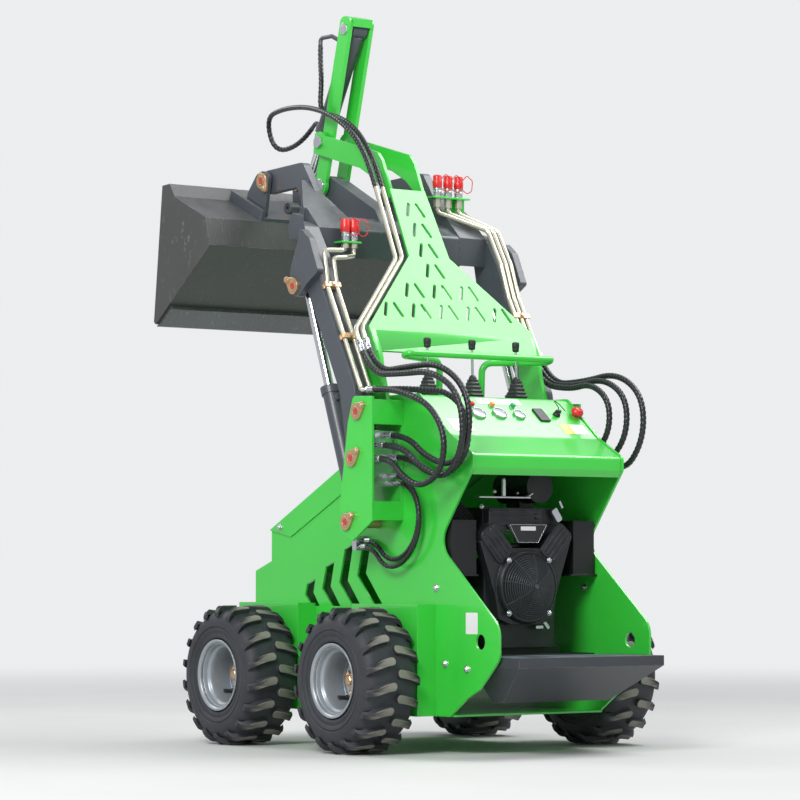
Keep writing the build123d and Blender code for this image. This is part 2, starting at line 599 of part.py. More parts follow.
# bucket; rows: x, z of the shell's outer face from the top lip over the back and heel to the floor's edge
shell_line = [(1052, 1893), (1018, 1847), (820, 1757), (794, 1662), (1139, 1416)]
bucket = folded(shell_line[::-1], bucket_skin, bucket_half)
cheek = slab(shell_line + [(1150, 1424), (1098, 1891)], bucket_half, bucket_half + bucket_side)
bucket += [cheek, both(cheek)]
keep("bucket", bucket)
heel, lip = shell_line[3], shell_line[4]
floor_len = hypot(heel[0] - lip[0], heel[1] - lip[1])
ex, ez = (heel[0] - lip[0]) / floor_len, (heel[1] - lip[1]) / floor_len


def on_floor(s, out):
    """Point s back from the floor's front edge and out from its outer face."""
    return (lip[0] + ex * s - ez * out, lip[1] + ez * s + ex * out)


keep("cutting_edge", slab([on_floor(-12, gap), on_floor(edge_len, gap), on_floor(edge_len, gap + edge_t),
                           on_floor(6, gap + edge_t)], -bucket_half, bucket_half))

# steel tubes, couplers and their brackets

def coupler(x, y, z):
    """Quick coupler standing on its bracket at z: nut below, sleeve and cap above."""
    body = bar((x, y, z), (x, y, z + 44), coupler_r) + bar((x, y, z + 44), (x, y, z + 72), coupler_r + 3)
    return body


bracket_z, bracket_t = 1655.0, 6.0
beam_rear = 418.0
left_x, left_ys = 386.0, (226.0, 260.0)
right_x, right_z, right_ys = 497.0, 1845.0, (-200.0, -245.0, -290.0)


def over_corner(x):
    """Height over the upper frame's corner, whose top edge runs from (416, 1700) to (600, 1880)."""
    return 1700 + (x - 416) * 180 / 184 + gap


left_bracket = block(left_x - 16, beam_rear - gap, left_ys[0] - 22, left_ys[1] + 22,
                     bracket_z - bracket_t, bracket_z)
right_bracket = block(right_x - 20, right_x + 20, -325, -170, right_z - bracket_t, right_z)
right_bracket += slab([(right_x + 14, over_corner(right_x + 14)), (right_x + 14, right_z - 2),
                       (right_x + 20, right_z - 2), (right_x + 20, over_corner(right_x + 20))], -325, -245)
keep("coupler_brackets", left_bracket, right_bracket)
keep("couplers", *[coupler(left_x, y, bracket_z) for y in left_ys],
     *[coupler(right_x, y, right_z) for y in right_ys])

# tubes come from below the couplers and run down behind the legs, 12 mm clear of them; the left ones
# cross over high enough to pass in front of the hood when the arms are down
leg_rear = [(294, 1488), (190, 1302)]
arm_tubes = []
tube_end_x, tube_end_z = 76.0, 1146.0
for coupler_y, y, turn_y, z in zip(left_ys, (arm_in + 10, arm_out - 14), (306, 318), (1594, 1617)):
    route = [(left_x, coupler_y, bracket_z - bracket_t), (left_x, coupler_y, z + 14), (317, turn_y, z),
             (317, y, z - 4), *[(x, y, z) for x, z in leg_rear], (106, y, tube_end_z),
             (tube_end_x, y, tube_end_z)]
    nut = hexagon_z(left_x, coupler_y, bracket_z - bracket_t - 16, 26, 16)
    arm_tubes.append(pipe(route, tube_r, [16, 16, 16, 40, 40, 18]) + nut)
right_leg_ys = (-(arm_in + 6), -(arm_in + 28), -(arm_in + 50))
for coupler_y, y in zip(right_ys, right_leg_ys):
    route = [(right_x, coupler_y, right_z - bracket_t), (right_x, coupler_y, 1792), (412, y, 1730),
             (338, y, 1606),
             *[(x, y, z) for x, z in leg_rear]]
    nut = hexagon_z(right_x, coupler_y, right_z - bracket_t - 30, 26, 30)
    arm_tubes.append(pipe(route, tube_r, [18, 24, 40, 40]) + nut)
keep("arm_tubes", *arm_tubes)

# tubes along the level link's left edge: rows: distance from the edge, where the tube ends
link_rows = [(28.0, 44.0), (56.0, 36.0)]
link_tubes, link_ends = [], []
for off, end in link_rows:
    places = [(plate_len + 4, fork_out), (375 - off / 4, 83), (94 - off / 4, 335), (end, 335)]
    route = [plate_plane.from_local_coords(Vector(-(w + off), s, -plate / 2)) for s, w in places]
    link_tubes.append(pipe([tuple(p) for p in route], tube_r, [40, 40]))
    link_ends.append(route)
keep("link_tubes", *link_tubes)

# blocks that the hoses end on, beside the side plates
union_x = 30.0
manifold = block(union_x, union_x + 12, side_outer + gap, 410, 838, 1015)
union = block(200, 222, side_outer + gap, 345, 636, 682)
keep("hose_unions", manifold, both(manifold), union)


def past(a, b, distance):
    """Point on the line from a to b, that far beyond b."""
    run = (Vector(*b) - Vector(*a)).normalized()
    return tuple(Vector(*b) + run * distance)


def hose(name, points, radius):
    """Hose along points; each corner's arc takes 0.45 of its shorter run on both sides."""
    stops = [Vector(*p) for p in points]
    runs = [b - a for a, b in zip(stops, stops[1:])]
    bends = []
    for before, after in zip(runs, runs[1:]):
        turn = radians(before.get_angle(after))
        bends.append(0.45 * min(before.length, after.length) / tan(turn / 2))
    wire = FilletPolyline(*points, radius=bends)
    tube = sweep(Plane(origin=wire @ 0, z_dir=wire % 0) * Circle(radius), path=wire)
    share = tube.volume / (3.14159265 * radius**2 * wire.length)
    print(name, "length", round(wire.length), "bends", [round(b) for b in bends], "volume share",
          round(share, 3))
    keep(name, tube)


end_x = union_x - gap
lead = 125.0                # straight lead of a hose out of its tube, up to its first corner
leg_a, leg_b = (*leg_rear[0], 0), (*leg_rear[1], 0)
link_1, link_2 = [[tuple(p) for p in route[-2:]] for route in link_ends]
hose("hose_link_1", [past(*link_1, gap), past(*link_1, lead), (-110, 360, 1212), (-270, 356, 1214),
                     (-400, 350, 1128),
                     (-415, 347, 985), (-325, 345, 893), (-190, 345, 920), (-80, 352, 1000),
                     (end_x, 352, 1000)],
     hose_r)
hose("hose_link_2", [past(*link_2, gap), past(*link_2, lead), (-110, 388, 1188), (-262, 382, 1190),
                     (-392, 375, 1118),
                     (-415, 371, 965), (-325, 369, 852), (-195, 371, 888), (-95, 384, 968),
                     (end_x, 384, 968)],
     hose_r)
hose("hose_arm_1", [(tube_end_x - gap, 355, tube_end_z), (-24, 355, tube_end_z), (-140, 336, 1138),
                    (-265, 325, 1128), (-360, 321, 1060), (-372, 321, 950), (-280, 321, 870),
                    (-165, 321, 872),
                    (-70, 330, 930), (end_x, 330, 930)], hose_r)
hose("hose_arm_2", [(tube_end_x - gap, 391, tube_end_z), (-24, 391, tube_end_z), (-150, 395, 1124),
                    (-275, 396, 1080), (-352, 396, 985), (-325, 396, 870), (-215, 396, 828),
                    (-120, 398, 870),
                    (-60, 399, 925), (end_x, 399, 925)], hose_r)
right_starts = []
for y in right_leg_ys:
    a, b = (leg_rear[0][0], y, leg_rear[0][1]), (leg_rear[1][0], y, leg_rear[1][1])
    right_starts.append([past(a, b, gap), past(a, b, lead)])
hose("hose_right_1", [*right_starts[0], (-40, -345, 1166), (-165, -333, 1180), (-265, -327, 1120),
                      (-268, -324, 1015),
                      (-185, -324, 940), (-80, -330, 945), (end_x, -330, 945)], hose_r)
hose("hose_right_2", [*right_starts[1], (-40, -369, 1178), (-200, -358, 1196), (-322, -352, 1128),
                      (-325, -349, 1000),
                      (-225, -347, 912), (-100, -353, 965), (end_x, -353, 965)], hose_r)
hose("hose_right_3", [*right_starts[2], (-50, -393, 1192), (-230, -387, 1214), (-368, -380, 1135),
                      (-378, -376, 990),
                      (-275, -374, 880), (-120, -380, 985), (end_x, -380, 985)], hose_r)
hose("hose_cylinder_1", [(end_x, 317, 850), (-40, 317, 850), (-105, 317, 780), (-95, 317, 680),
                         (-20, 317, 610),
                         (70, 317, 605), (140, 317, 667), (200 - gap, 317, 667)], small_hose_r)
hose("hose_cylinder_2", [(end_x, 333.5, 872), (-50, 333.5, 872), (-130, 333.5, 790), (-125, 333.5, 672),
                         (-40, 333.5, 588), (60, 333.5, 580), (128, 333.5, 648),
                         (200 - gap, 333.5, 648)], small_hose_r)
tilt_1, tilt_2 = [[tuple(route[1]), tuple(route[0])] for route in link_ends]
hose("hose_tilt_upper", [past(*tilt_1, gap), past(*tilt_1, 110), (560, 92, 2062), (690, 80, 2122),
                         (812, 72, 2146),
                         (806, 68, 2258), (840.2, 49.8, 2332), (845.2, 45.8, 2387.5)], tilt_hose_r)
hose("hose_tilt_lower", [past(*tilt_2, gap), past(*tilt_2, 120), (560, 118, 2055), (690, 108, 2125),
                         (850, 98, 2172),
                         (1005, 92, 2184), (1140, 78, 2170), (1130, 48, 2045), (1000.2, 25.7, 2059.8),
                         (935.3, 20, 2111.8)], tilt_hose_r)

# place and write
bodies = Compound([nodes[n] for n in nodes])
box = bodies.bounding_box()
origin_x = (box.min.X + box.max.X) / 2
for name, shape in nodes.items():
    export_step(Pos(-origin_x, 0, 0) * shape, f"parts/{name}.step")
print("origin from rear axle", round(origin_x, 3), "nodes", len(nodes), "box", box)
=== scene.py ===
import bpy, bmesh, json, math
import numpy as np
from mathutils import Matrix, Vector


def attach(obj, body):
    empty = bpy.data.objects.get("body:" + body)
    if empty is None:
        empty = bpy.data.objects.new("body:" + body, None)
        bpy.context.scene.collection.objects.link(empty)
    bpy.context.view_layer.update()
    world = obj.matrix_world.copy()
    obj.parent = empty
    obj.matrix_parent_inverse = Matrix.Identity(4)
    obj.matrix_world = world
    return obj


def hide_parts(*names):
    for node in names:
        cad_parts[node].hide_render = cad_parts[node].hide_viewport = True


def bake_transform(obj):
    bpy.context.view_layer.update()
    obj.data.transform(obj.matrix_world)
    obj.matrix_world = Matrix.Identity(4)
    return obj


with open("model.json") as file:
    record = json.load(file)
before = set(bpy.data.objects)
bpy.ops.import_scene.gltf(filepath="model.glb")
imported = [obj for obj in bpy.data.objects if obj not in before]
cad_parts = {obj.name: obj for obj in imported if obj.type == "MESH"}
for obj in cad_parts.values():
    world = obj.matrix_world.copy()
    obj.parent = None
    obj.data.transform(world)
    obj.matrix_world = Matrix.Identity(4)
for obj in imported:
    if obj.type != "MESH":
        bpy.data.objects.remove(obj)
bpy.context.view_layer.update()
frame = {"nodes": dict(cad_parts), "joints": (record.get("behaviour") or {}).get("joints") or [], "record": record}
nodes = frame["nodes"]
print("frame loaded", len(nodes), "nodes")

# every x below is measured from the rear axle, which the wheel's joint gives in the row frame
rearWheel = next(j for j in frame["joints"] if j["name"] == "wheel_rear_left_spin")
axleX = rearWheel["pos_m"][0]
axleShift = np.array((axleX, 0.0, 0.0))


def fromAxle(points):
    return np.array(points, float) + axleShift


# camera
cameraSet = {"place": (-8.0435, 6.1122, 0.5770), "yaw": -35.78, "pitch": 3.09, "lens": 140.65}


def makeCamera(s):
    data = bpy.data.cameras.new("camera")
    data.lens, data.sensor_width = s["lens"], 36
    data.clip_start, data.clip_end = 0.1, 100
    cam = bpy.data.objects.new("camera", data)
    bpy.context.scene.collection.objects.link(cam)
    yaw, pitch = math.radians(s["yaw"]), math.radians(s["pitch"])
    look = Vector((math.cos(pitch) * math.cos(yaw), math.cos(pitch) * math.sin(yaw), math.sin(pitch)))
    cam.location = Vector(fromAxle(s["place"]))
    cam.rotation_mode = "QUATERNION"
    cam.rotation_quaternion = look.to_track_quat("-Z", "Y")
    bpy.context.scene.camera = cam


makeCamera(cameraSet)
bpy.context.scene.view_settings.view_transform = "Standard"
print("camera set")


# node helpers
def newTree(name):
    mat = bpy.data.materials.new(name)
    mat.use_nodes = True
    tree = mat.node_tree
    tree.nodes.clear()
    return mat, tree


def add(tree, kind, **values):
    node = tree.nodes.new(kind)
    for key, value in values.items():
        if key in node.inputs:
            node.inputs[key].default_value = value
        else:
            setattr(node, key, value)
    return node


def wire(tree, *pairs):
    for a, b in pairs:
        tree.links.new(a, b)


def newGroup(name, inputs, outputs):
    group = bpy.data.node_groups.new(name, "ShaderNodeTree")
    for label, value in inputs:
        socket = group.interface.new_socket(label, in_out="INPUT", socket_type="NodeSocketFloat")
        socket.default_value = value
    for label in outputs:
        group.interface.new_socket(label, in_out="OUTPUT", socket_type="NodeSocketFloat")
    return group, group.nodes.new("NodeGroupInput"), group.nodes.new("NodeGroupOutput")


def place(tree, group, **values):
    node = tree.nodes.new("ShaderNodeGroup")
    node.node_tree = group
    for key, value in values.items():
        node.inputs[key].default_value = value
    return node


def ramp(tree, stops):
    node = tree.nodes.new("ShaderNodeValToRGB")
    while len(node.color_ramp.elements) < len(stops):
        node.color_ramp.elements.new(0.5)
    for element, (at, value) in zip(node.color_ramp.elements, stops):
        element.position = at
        element.color = (*value, 1) if hasattr(value, "__len__") else (value, value, value, 1)
    return node


def times(tree, a, b):
    node = add(tree, "ShaderNodeMath", operation="MULTIPLY", use_clamp=True)
    wire(tree, (a, node.inputs[0]), (b, node.inputs[1]))
    return node.outputs[0]


def grimeAndSheenGroup():
    # dust lies on faces that look up and low on the machine, and on the rear step the same mask is a painted sky
    # reflection on faces that look up; scuffs are thin streaks, on the hose guard painted glint flecks; peel is the
    # paint's ripple
    g, gin, gout = newGroup("grimeAndSheen", [("Dust", 0.4), ("Low", 0.5), ("Scale", 9.0)], ["Mask", "Tone", "ScuffAndGlint", "Peel"])
    where = add(g, "ShaderNodeTexCoord").outputs["Object"]
    geo = add(g, "ShaderNodeNewGeometry")
    up, height = add(g, "ShaderNodeSeparateXYZ"), add(g, "ShaderNodeSeparateXYZ")
    upMap = add(g, "ShaderNodeMapRange", **{"From Min": 0.1, "From Max": 1.0})
    lowMap = add(g, "ShaderNodeMapRange", **{"From Min": 0.75, "From Max": 0.1})
    wire(g, (geo.outputs["Normal"], up.inputs[0]), (where, height.inputs[0]),
         (up.outputs["Z"], upMap.inputs["Value"]), (height.outputs["Z"], lowMap.inputs["Value"]))
    most = add(g, "ShaderNodeMath", operation="MAXIMUM")
    wire(g, (upMap.outputs[0], most.inputs[0]), (times(g, lowMap.outputs[0], gin.outputs["Low"]), most.inputs[1]))
    cloud = add(g, "ShaderNodeTexNoise", Detail=8.0, Roughness=0.65)
    cut = ramp(g, [(0.38, 0.0), (0.72, 1.0)])
    wire(g, (where, cloud.inputs["Vector"]), (gin.outputs["Scale"], cloud.inputs["Scale"]),
         (cloud.outputs["Fac"], cut.inputs[0]))
    wire(g, (times(g, times(g, most.outputs[0], cut.outputs[0]), gin.outputs["Dust"]), gout.inputs["Mask"]))
    tone = add(g, "ShaderNodeTexNoise", Scale=2.6, Detail=4.0)
    stretch = add(g, "ShaderNodeMapping", Scale=(14.0, 60.0, 9.0))
    streak = add(g, "ShaderNodeTexNoise", Scale=3.0, Detail=6.0, Roughness=0.7)
    thin = ramp(g, [(0.60, 0.0), (0.66, 1.0)])
    peel = add(g, "ShaderNodeTexNoise", Scale=420.0, Detail=2.0)
    wire(g, (where, tone.inputs["Vector"]), (tone.outputs["Fac"], gout.inputs["Tone"]),
         (where, stretch.inputs[0]), (stretch.outputs[0], streak.inputs["Vector"]),
         (streak.outputs["Fac"], thin.inputs[0]), (thin.outputs[0], gout.inputs["ScuffAndGlint"]),
         (where, peel.inputs["Vector"]), (peel.outputs["Fac"], gout.inputs["Peel"]))
    return g


def edgeGroup():
    # worn edges: where a rounded normal turns away from the flat one, broken up by noise
    g, gin, gout = newGroup("edge_wear", [("Amount", 0.5), ("Width", 0.004)], ["Mask"])
    geo = add(g, "ShaderNodeNewGeometry")
    soft = add(g, "ShaderNodeBevel", samples=4)
    facing = add(g, "ShaderNodeVectorMath", operation="DOT_PRODUCT")
    turned = add(g, "ShaderNodeMapRange", **{"From Min": 0.985, "From Max": 0.90})
    where = add(g, "ShaderNodeTexCoord").outputs["Object"]
    cloud = add(g, "ShaderNodeTexNoise", Scale=26.0, Detail=6.0, Roughness=0.7)
    cut = ramp(g, [(0.42, 0.0), (0.62, 1.0)])
    wire(g, (gin.outputs["Width"], soft.inputs["Radius"]), (soft.outputs[0], facing.inputs[0]),
         (geo.outputs["Normal"], facing.inputs[1]), (facing.outputs["Value"], turned.inputs["Value"]),
         (where, cloud.inputs["Vector"]), (cloud.outputs["Fac"], cut.inputs[0]))
    wire(g, (times(g, times(g, turned.outputs[0], cut.outputs[0]), gin.outputs["Amount"]), gout.inputs["Mask"]))
    return g


grimeAndSheen, edgeWear = grimeAndSheenGroup(), edgeGroup()


def mixColor(tree, amount, under, over):
    # over lies on under by amount; over is a plain colour, under a colour or an output
    node = add(tree, "ShaderNodeMix", data_type="RGBA")
    if isinstance(under, tuple):
        node.inputs[6].default_value = (*under, 1)
    else:
        wire(tree, (under, node.inputs[6]))
    node.inputs[7].default_value = (*over, 1)
    wire(tree, (amount, node.inputs[0]))
    return node.outputs[2]


def paint(name, s):
    # s: color, dark, rough, coat, metal, dust, dustAndSheenColor, low, peel, scuff, scuffAndGlintColor, wear,
    # wearColor; dust and dustAndSheenColor also paint a sky reflection on the rear step's top faces, scuff and
    # scuffAndGlintColor paint glint flecks on the hose guard
    mat, t = newTree(name)
    out = add(t, "ShaderNodeOutputMaterial")
    bsdf = add(t, "ShaderNodeBsdfPrincipled", Metallic=s.get("metal", 0.0))
    g = place(t, grimeAndSheen, Dust=s.get("dustAndSheen", 0.3), Low=s.get("low", 0.4))
    shade = mixColor(t, g.outputs["Tone"], s["dark"], s["color"])
    if "treadColor" in s:
        worn = add(t, "ShaderNodeAttribute", attribute_name="tread")
        shade = mixColor(t, worn.outputs["Fac"], shade, s["treadColor"])
    if s.get("wear"):
        e = place(t, edgeWear, Amount=s["wear"])
        shade = mixColor(t, e.outputs["Mask"], shade, s["wearColor"])
    # scuff streaks; on the hose guard they are painted glint flecks
    if s.get("scuffAndGlint"):
        amount = add(t, "ShaderNodeMath", operation="MULTIPLY")
        amount.inputs[1].default_value = s["scuffAndGlint"]
        wire(t, (g.outputs["ScuffAndGlint"], amount.inputs[0]))
        shade = mixColor(t, amount.outputs[0], shade, s["scuffAndGlintColor"])
    # the dust colour on faces that look up and low on the machine; on the rear step it is a painted sky reflection on
    # its top faces
    shade = mixColor(t, g.outputs["Mask"], shade, s.get("dustAndSheenColor", (0.42, 0.43, 0.40)))
    rough = add(t, "ShaderNodeMapRange", **{"To Min": s["rough"], "To Max": min(s["rough"] + 0.35, 0.95)})
    bump = add(t, "ShaderNodeBump", Strength=s.get("peel", 0.05), Distance=0.002)
    soft = add(t, "ShaderNodeBevel", samples=4, Radius=s.get("round", 0.003))
    wire(t, (shade, bsdf.inputs["Base Color"]), (g.outputs["Mask"], rough.inputs["Value"]),
         (rough.outputs[0], bsdf.inputs["Roughness"]), (g.outputs["Peel"], bump.inputs["Height"]),
         (soft.outputs[0], bump.inputs["Normal"]), (bump.outputs[0], bsdf.inputs["Normal"]),
         (bsdf.outputs[0], out.inputs[0]))
    bsdf.inputs["Coat Weight"].default_value = s.get("coat", 0.0)
    bsdf.inputs["Coat Roughness"].default_value = 0.08
    return mat


finishes = {
    "greenPaint": {"color": (0.048, 0.62, 0.055), "dark": (0.030, 0.52, 0.040), "rough": 0.32, "coat": 0.6,
                   "dustAndSheen": 0.16, "low": 0.25, "peel": 0.04, "wear": 0.25, "wearColor": (0.25, 0.75, 0.27)},
    "darkPaint": {"color": (0.070, 0.080, 0.095), "dark": (0.048, 0.056, 0.068), "rough": 0.40, "coat": 0.15,
                  "dustAndSheen": 0.35, "low": 0.3, "peel": 0.06, "scuffAndGlint": 0.25, "scuffAndGlintColor": (0.16, 0.17, 0.19),
                  "wear": 0.6, "wearColor": (0.24, 0.26, 0.29)},
    "bucketSteel": {"color": (0.058, 0.062, 0.060), "dark": (0.036, 0.038, 0.036), "rough": 0.45, "coat": 0.1,
                    "dustAndSheen": 0.5, "low": 0.0, "dustAndSheenColor": (0.20, 0.22, 0.23), "peel": 0.08, "scuffAndGlint": 0.5,
                    "scuffAndGlintColor": (0.16, 0.18, 0.20), "wear": 0.7, "wearColor": (0.30, 0.33, 0.36)},
    "edgeSteel": {"color": (0.17, 0.18, 0.19), "dark": (0.10, 0.105, 0.11), "rough": 0.36, "metal": 0.7, "dustAndSheen": 0.3,
                  "low": 0.0, "peel": 0.15, "scuffAndGlint": 0.6, "scuffAndGlintColor": (0.42, 0.43, 0.44), "wear": 0.8,
                  "wearColor": (0.5, 0.5, 0.5)},
    "rimPaint": {"color": (0.40, 0.44, 0.47), "dark": (0.28, 0.31, 0.34), "rough": 0.34, "metal": 0.45, "dustAndSheen": 0.35,
                 "low": 0.3, "scuffAndGlint": 0.25, "scuffAndGlintColor": (0.55, 0.56, 0.57),
                 "wear": 0.5, "wearColor": (0.7, 0.7, 0.7)},
    "tyreRubber": {"color": (0.030, 0.034, 0.042), "dark": (0.018, 0.020, 0.026), "rough": 0.58, "dustAndSheen": 0.25,
                   "low": 0.5, "dustAndSheenColor": (0.16, 0.165, 0.17), "peel": 0.25, "treadColor": (0.235, 0.225, 0.19),
                   "scuffAndGlint": 0.25, "scuffAndGlintColor": (0.09, 0.095, 0.10)},
    "chromeRod": {"color": (0.80, 0.81, 0.83), "dark": (0.72, 0.73, 0.75), "rough": 0.08, "metal": 1.0, "dustAndSheen": 0.05},
    "yellowZinc": {"color": (0.66, 0.42, 0.24), "dark": (0.52, 0.33, 0.19), "rough": 0.30, "metal": 0.75, "dustAndSheen": 0.1,
                   "wear": 0.5, "wearColor": (0.80, 0.72, 0.62)},
    "paleZinc": {"color": (0.70, 0.68, 0.56), "dark": (0.58, 0.56, 0.44), "rough": 0.26, "metal": 0.7, "dustAndSheen": 0.1},
    "brightZinc": {"color": (0.66, 0.68, 0.71), "dark": (0.5, 0.52, 0.55), "rough": 0.26, "metal": 0.9, "dustAndSheen": 0.1,
                   "wear": 0.4, "wearColor": (0.8, 0.8, 0.8)},
    # hose guard: the bluish streaks from scuff and scuffAndGlintColor are painted glint flecks
    "hoseGuard": {"color": (0.014, 0.015, 0.018), "dark": (0.008, 0.009, 0.011), "rough": 0.28, "dustAndSheen": 0.15,
                  "dustAndSheenColor": (0.10, 0.11, 0.13), "low": 0.1, "peel": 0.3, "round": 0.0008, "scuffAndGlint": 0.5,
                  "scuffAndGlintColor": (0.10, 0.12, 0.15)},
    # rear step: the dust mask at 0.95 with a bluish colour is a painted sky reflection on the faces that look up
    "stepSteel": {"color": (0.062, 0.070, 0.082), "dark": (0.016, 0.017, 0.021), "rough": 0.36, "dustAndSheen": 0.95,
                  "dustAndSheenColor": (0.17, 0.22, 0.25), "low": 0.0, "peel": 0.1, "wear": 0.7,
                  "wearColor": (0.20, 0.24, 0.27)},
    "blackPlastic": {"color": (0.022, 0.023, 0.026), "dark": (0.015, 0.016, 0.018), "rough": 0.42, "dustAndSheen": 0.15,
                     "peel": 0.2},
    "guardWire": {"color": (0.10, 0.11, 0.12), "dark": (0.05, 0.055, 0.06), "rough": 0.30, "metal": 0.5, "dustAndSheen": 0.1,
                  "peel": 0.0},
    "steelDark": {"color": (0.045, 0.048, 0.052), "dark": (0.022, 0.024, 0.026), "rough": 0.35,
                  "metal": 0.4, "dustAndSheen": 0.2,
                  "peel": 0.2},
    # engine bay: near-black painted shade for the parts deep in the bay
    "bayPaintedShade": {"color": (0.006, 0.007, 0.008), "dark": (0.004, 0.004, 0.005), "rough": 0.55, "dustAndSheen": 0.1,
                 "peel": 0.3},
    "castBlack": {"color": (0.013, 0.016, 0.020), "dark": (0.008, 0.009, 0.011), "rough": 0.36,
                  "dustAndSheen": 0.15, "peel": 0.4,
                  "wear": 0.5, "wearColor": (0.11, 0.13, 0.15)},
    "redPlastic": {"color": (0.72, 0.022, 0.020), "dark": (0.60, 0.016, 0.015), "rough": 0.32, "coat": 0.2,
                   "dustAndSheen": 0.1},
    "amberPlastic": {"color": (0.85, 0.36, 0.02), "dark": (0.75, 0.30, 0.02), "rough": 0.25, "coat": 0.4, "dustAndSheen": 0.0},
    "jadePlastic": {"color": (0.02, 0.42, 0.12), "dark": (0.02, 0.36, 0.10), "rough": 0.25, "coat": 0.4, "dustAndSheen": 0.0},
    "whiteLabel": {"color": (0.80, 0.80, 0.78), "dark": (0.74, 0.74, 0.72), "rough": 0.35, "coat": 0.3, "dustAndSheen": 0.1,
                   "peel": 0.0, "round": 0.0003},
    "yellowLabel": {"color": (0.82, 0.60, 0.05), "dark": (0.78, 0.56, 0.05), "rough": 0.35, "coat": 0.3, "dustAndSheen": 0.1,
                    "peel": 0.0, "round": 0.0003},
    "dialFace": {"color": (0.50, 0.53, 0.56), "dark": (0.42, 0.45, 0.48), "rough": 0.12, "coat": 0.8, "dustAndSheen": 0.0,
                 "peel": 0.0, "round": 0.0003},
    "pinRed": {"color": (0.62, 0.06, 0.03), "dark": (0.48, 0.05, 0.03), "rough": 0.5, "metal": 0.2, "dustAndSheen": 0.0,
               "peel": 0.5},
}
made = {name: paint(name, s) for name, s in finishes.items()}

slotFinish = {"green_paint": "greenPaint", "dark_paint": "darkPaint", "tyre_rubber": "tyreRubber",
              "rim_silver": "rimPaint", "chrome_rod": "chromeRod", "brass_zinc": "yellowZinc",
              "zinc_steel": "brightZinc", "black_plastic": "blackPlastic", "engine": "castBlack",
              "engine_plastic": "blackPlastic", "hose_rubber": "hoseGuard"}
# engine_boxes and engine_deck take the bay's near-black painted shade
ownFinish = {"bucket": "bucketSteel", "cutting_edge": "edgeSteel", "arm_tubes": "paleZinc", "link_tubes": "paleZinc",
             "engine_shroud": "castBlack", "rear_step": "stepSteel", "engine_boxes": "bayPaintedShade",
             "engine_block": "castBlack", "engine_cover": "castBlack", "engine_deck": "bayPaintedShade"}
slotOf = {row["node"]: row["material_slot"] for row in frame["record"]["subparts"]}
for name, obj in nodes.items():
    obj.data.materials.clear()
    obj.data.materials.append(made[ownFinish.get(name, slotFinish[slotOf[name]])])
print("finishes on", len(nodes), "nodes")


# mesh helpers: a shell is points, quads and flat end caps
def unit(v):
    v = np.asarray(v, float)
    return v / np.linalg.norm(v, axis=-1, keepdims=True)


def across(axis, side=(0.0, 1.0, 0.0)):
    # two unit vectors square to the axis; the first lies as near to side as it can
    axis = unit(axis)
    side = np.asarray(side, float)
    if axis.ndim == 1 and abs(axis @ side) > 0.95:
        side = np.array((1.0, 0.0, 0.0))
    w = unit(side - (axis * side).sum(-1, keepdims=True) * axis)
    return w, np.cross(axis, w)


def skin(grid, loop=False, ends=True, wrap=True):
    # grid[i, j]: i along, j round; neighbours join in quads, loop closes i and wrap closes j
    nu, nv = grid.shape[:2]
    i, j = np.meshgrid(np.arange(nu if loop else nu - 1), np.arange(nv if wrap else nv - 1), indexing="ij")
    k, m = (i + 1) % nu, (j + 1) % nv
    quads = np.stack([i * nv + j, i * nv + m, k * nv + m, k * nv + j], -1).reshape(-1, 4)
    caps = [] if loop or not ends else [np.arange(nv), np.arange((nu - 1) * nv, nu * nv)[::-1]]
    return grid.reshape(-1, 3), quads, caps


def revolve(profile, centre, axis, steps=32, turn=0.0, loop=False):
    # rows height, radius: point = centre + height axis + radius (cos t w + sin t u)
    h, r = np.array(profile, float).T
    w, u = across(axis)
    t = np.arange(steps) * 2 * np.pi / steps + turn
    ring = np.cos(t)[:, None] * w + np.sin(t)[:, None] * u
    grid = np.asarray(centre) + h[:, None, None] * unit(axis) + r[:, None, None] * ring
    return skin(grid, loop=loop)


def carry(path, profile, side=(0.0, 1.0, 0.0), loop=False):
    # profile rows a, b carried along the path: point = path + a w + b u, with w and u square to its tangent
    path, profile = np.asarray(path, float), np.asarray(profile, float)
    w, u = across(np.gradient(path, axis=0), side)
    grid = path[:, None] + profile[None, :, :1] * w[:, None] + profile[None, :, 1:] * u[:, None]
    return skin(grid, loop=loop)


def prism(outline, origin, a, b, height, chamfer=0.0):
    # outline rows p, q in the plane of a and b, raised by height along a x b, its top edge chamfered
    outline = np.asarray(outline, float)
    middle = outline.mean(axis=0)
    reach = np.abs(outline - middle).max()
    rows = [(0.0, 1.0), (height - chamfer, 1.0), (height, 1.0 - chamfer / reach)]
    up = np.cross(a, b)
    grid = np.stack([np.asarray(origin) + up * h + (middle + (outline - middle) * k) @ np.stack([a, b])
                     for h, k in rows])
    return skin(grid)


def roundShape(radius, count=20, turn=0.0):
    t = np.arange(count) * 2 * np.pi / count + turn
    return np.stack([radius * np.cos(t), radius * np.sin(t)], -1)


def boxShape(width, height, corner, count=6):
    # rectangle with rounded corners: four quarter turns about the corners' middles
    t = np.linspace(0, np.pi / 2, count)
    turns = (np.arange(4)[:, None] * np.pi / 2 + t).ravel()
    middles = np.repeat([(1, 1), (-1, 1), (-1, -1), (1, -1)], count, axis=0) * (width / 2 - corner, height / 2 - corner)
    return middles + corner * np.stack([np.cos(turns), np.sin(turns)], -1)


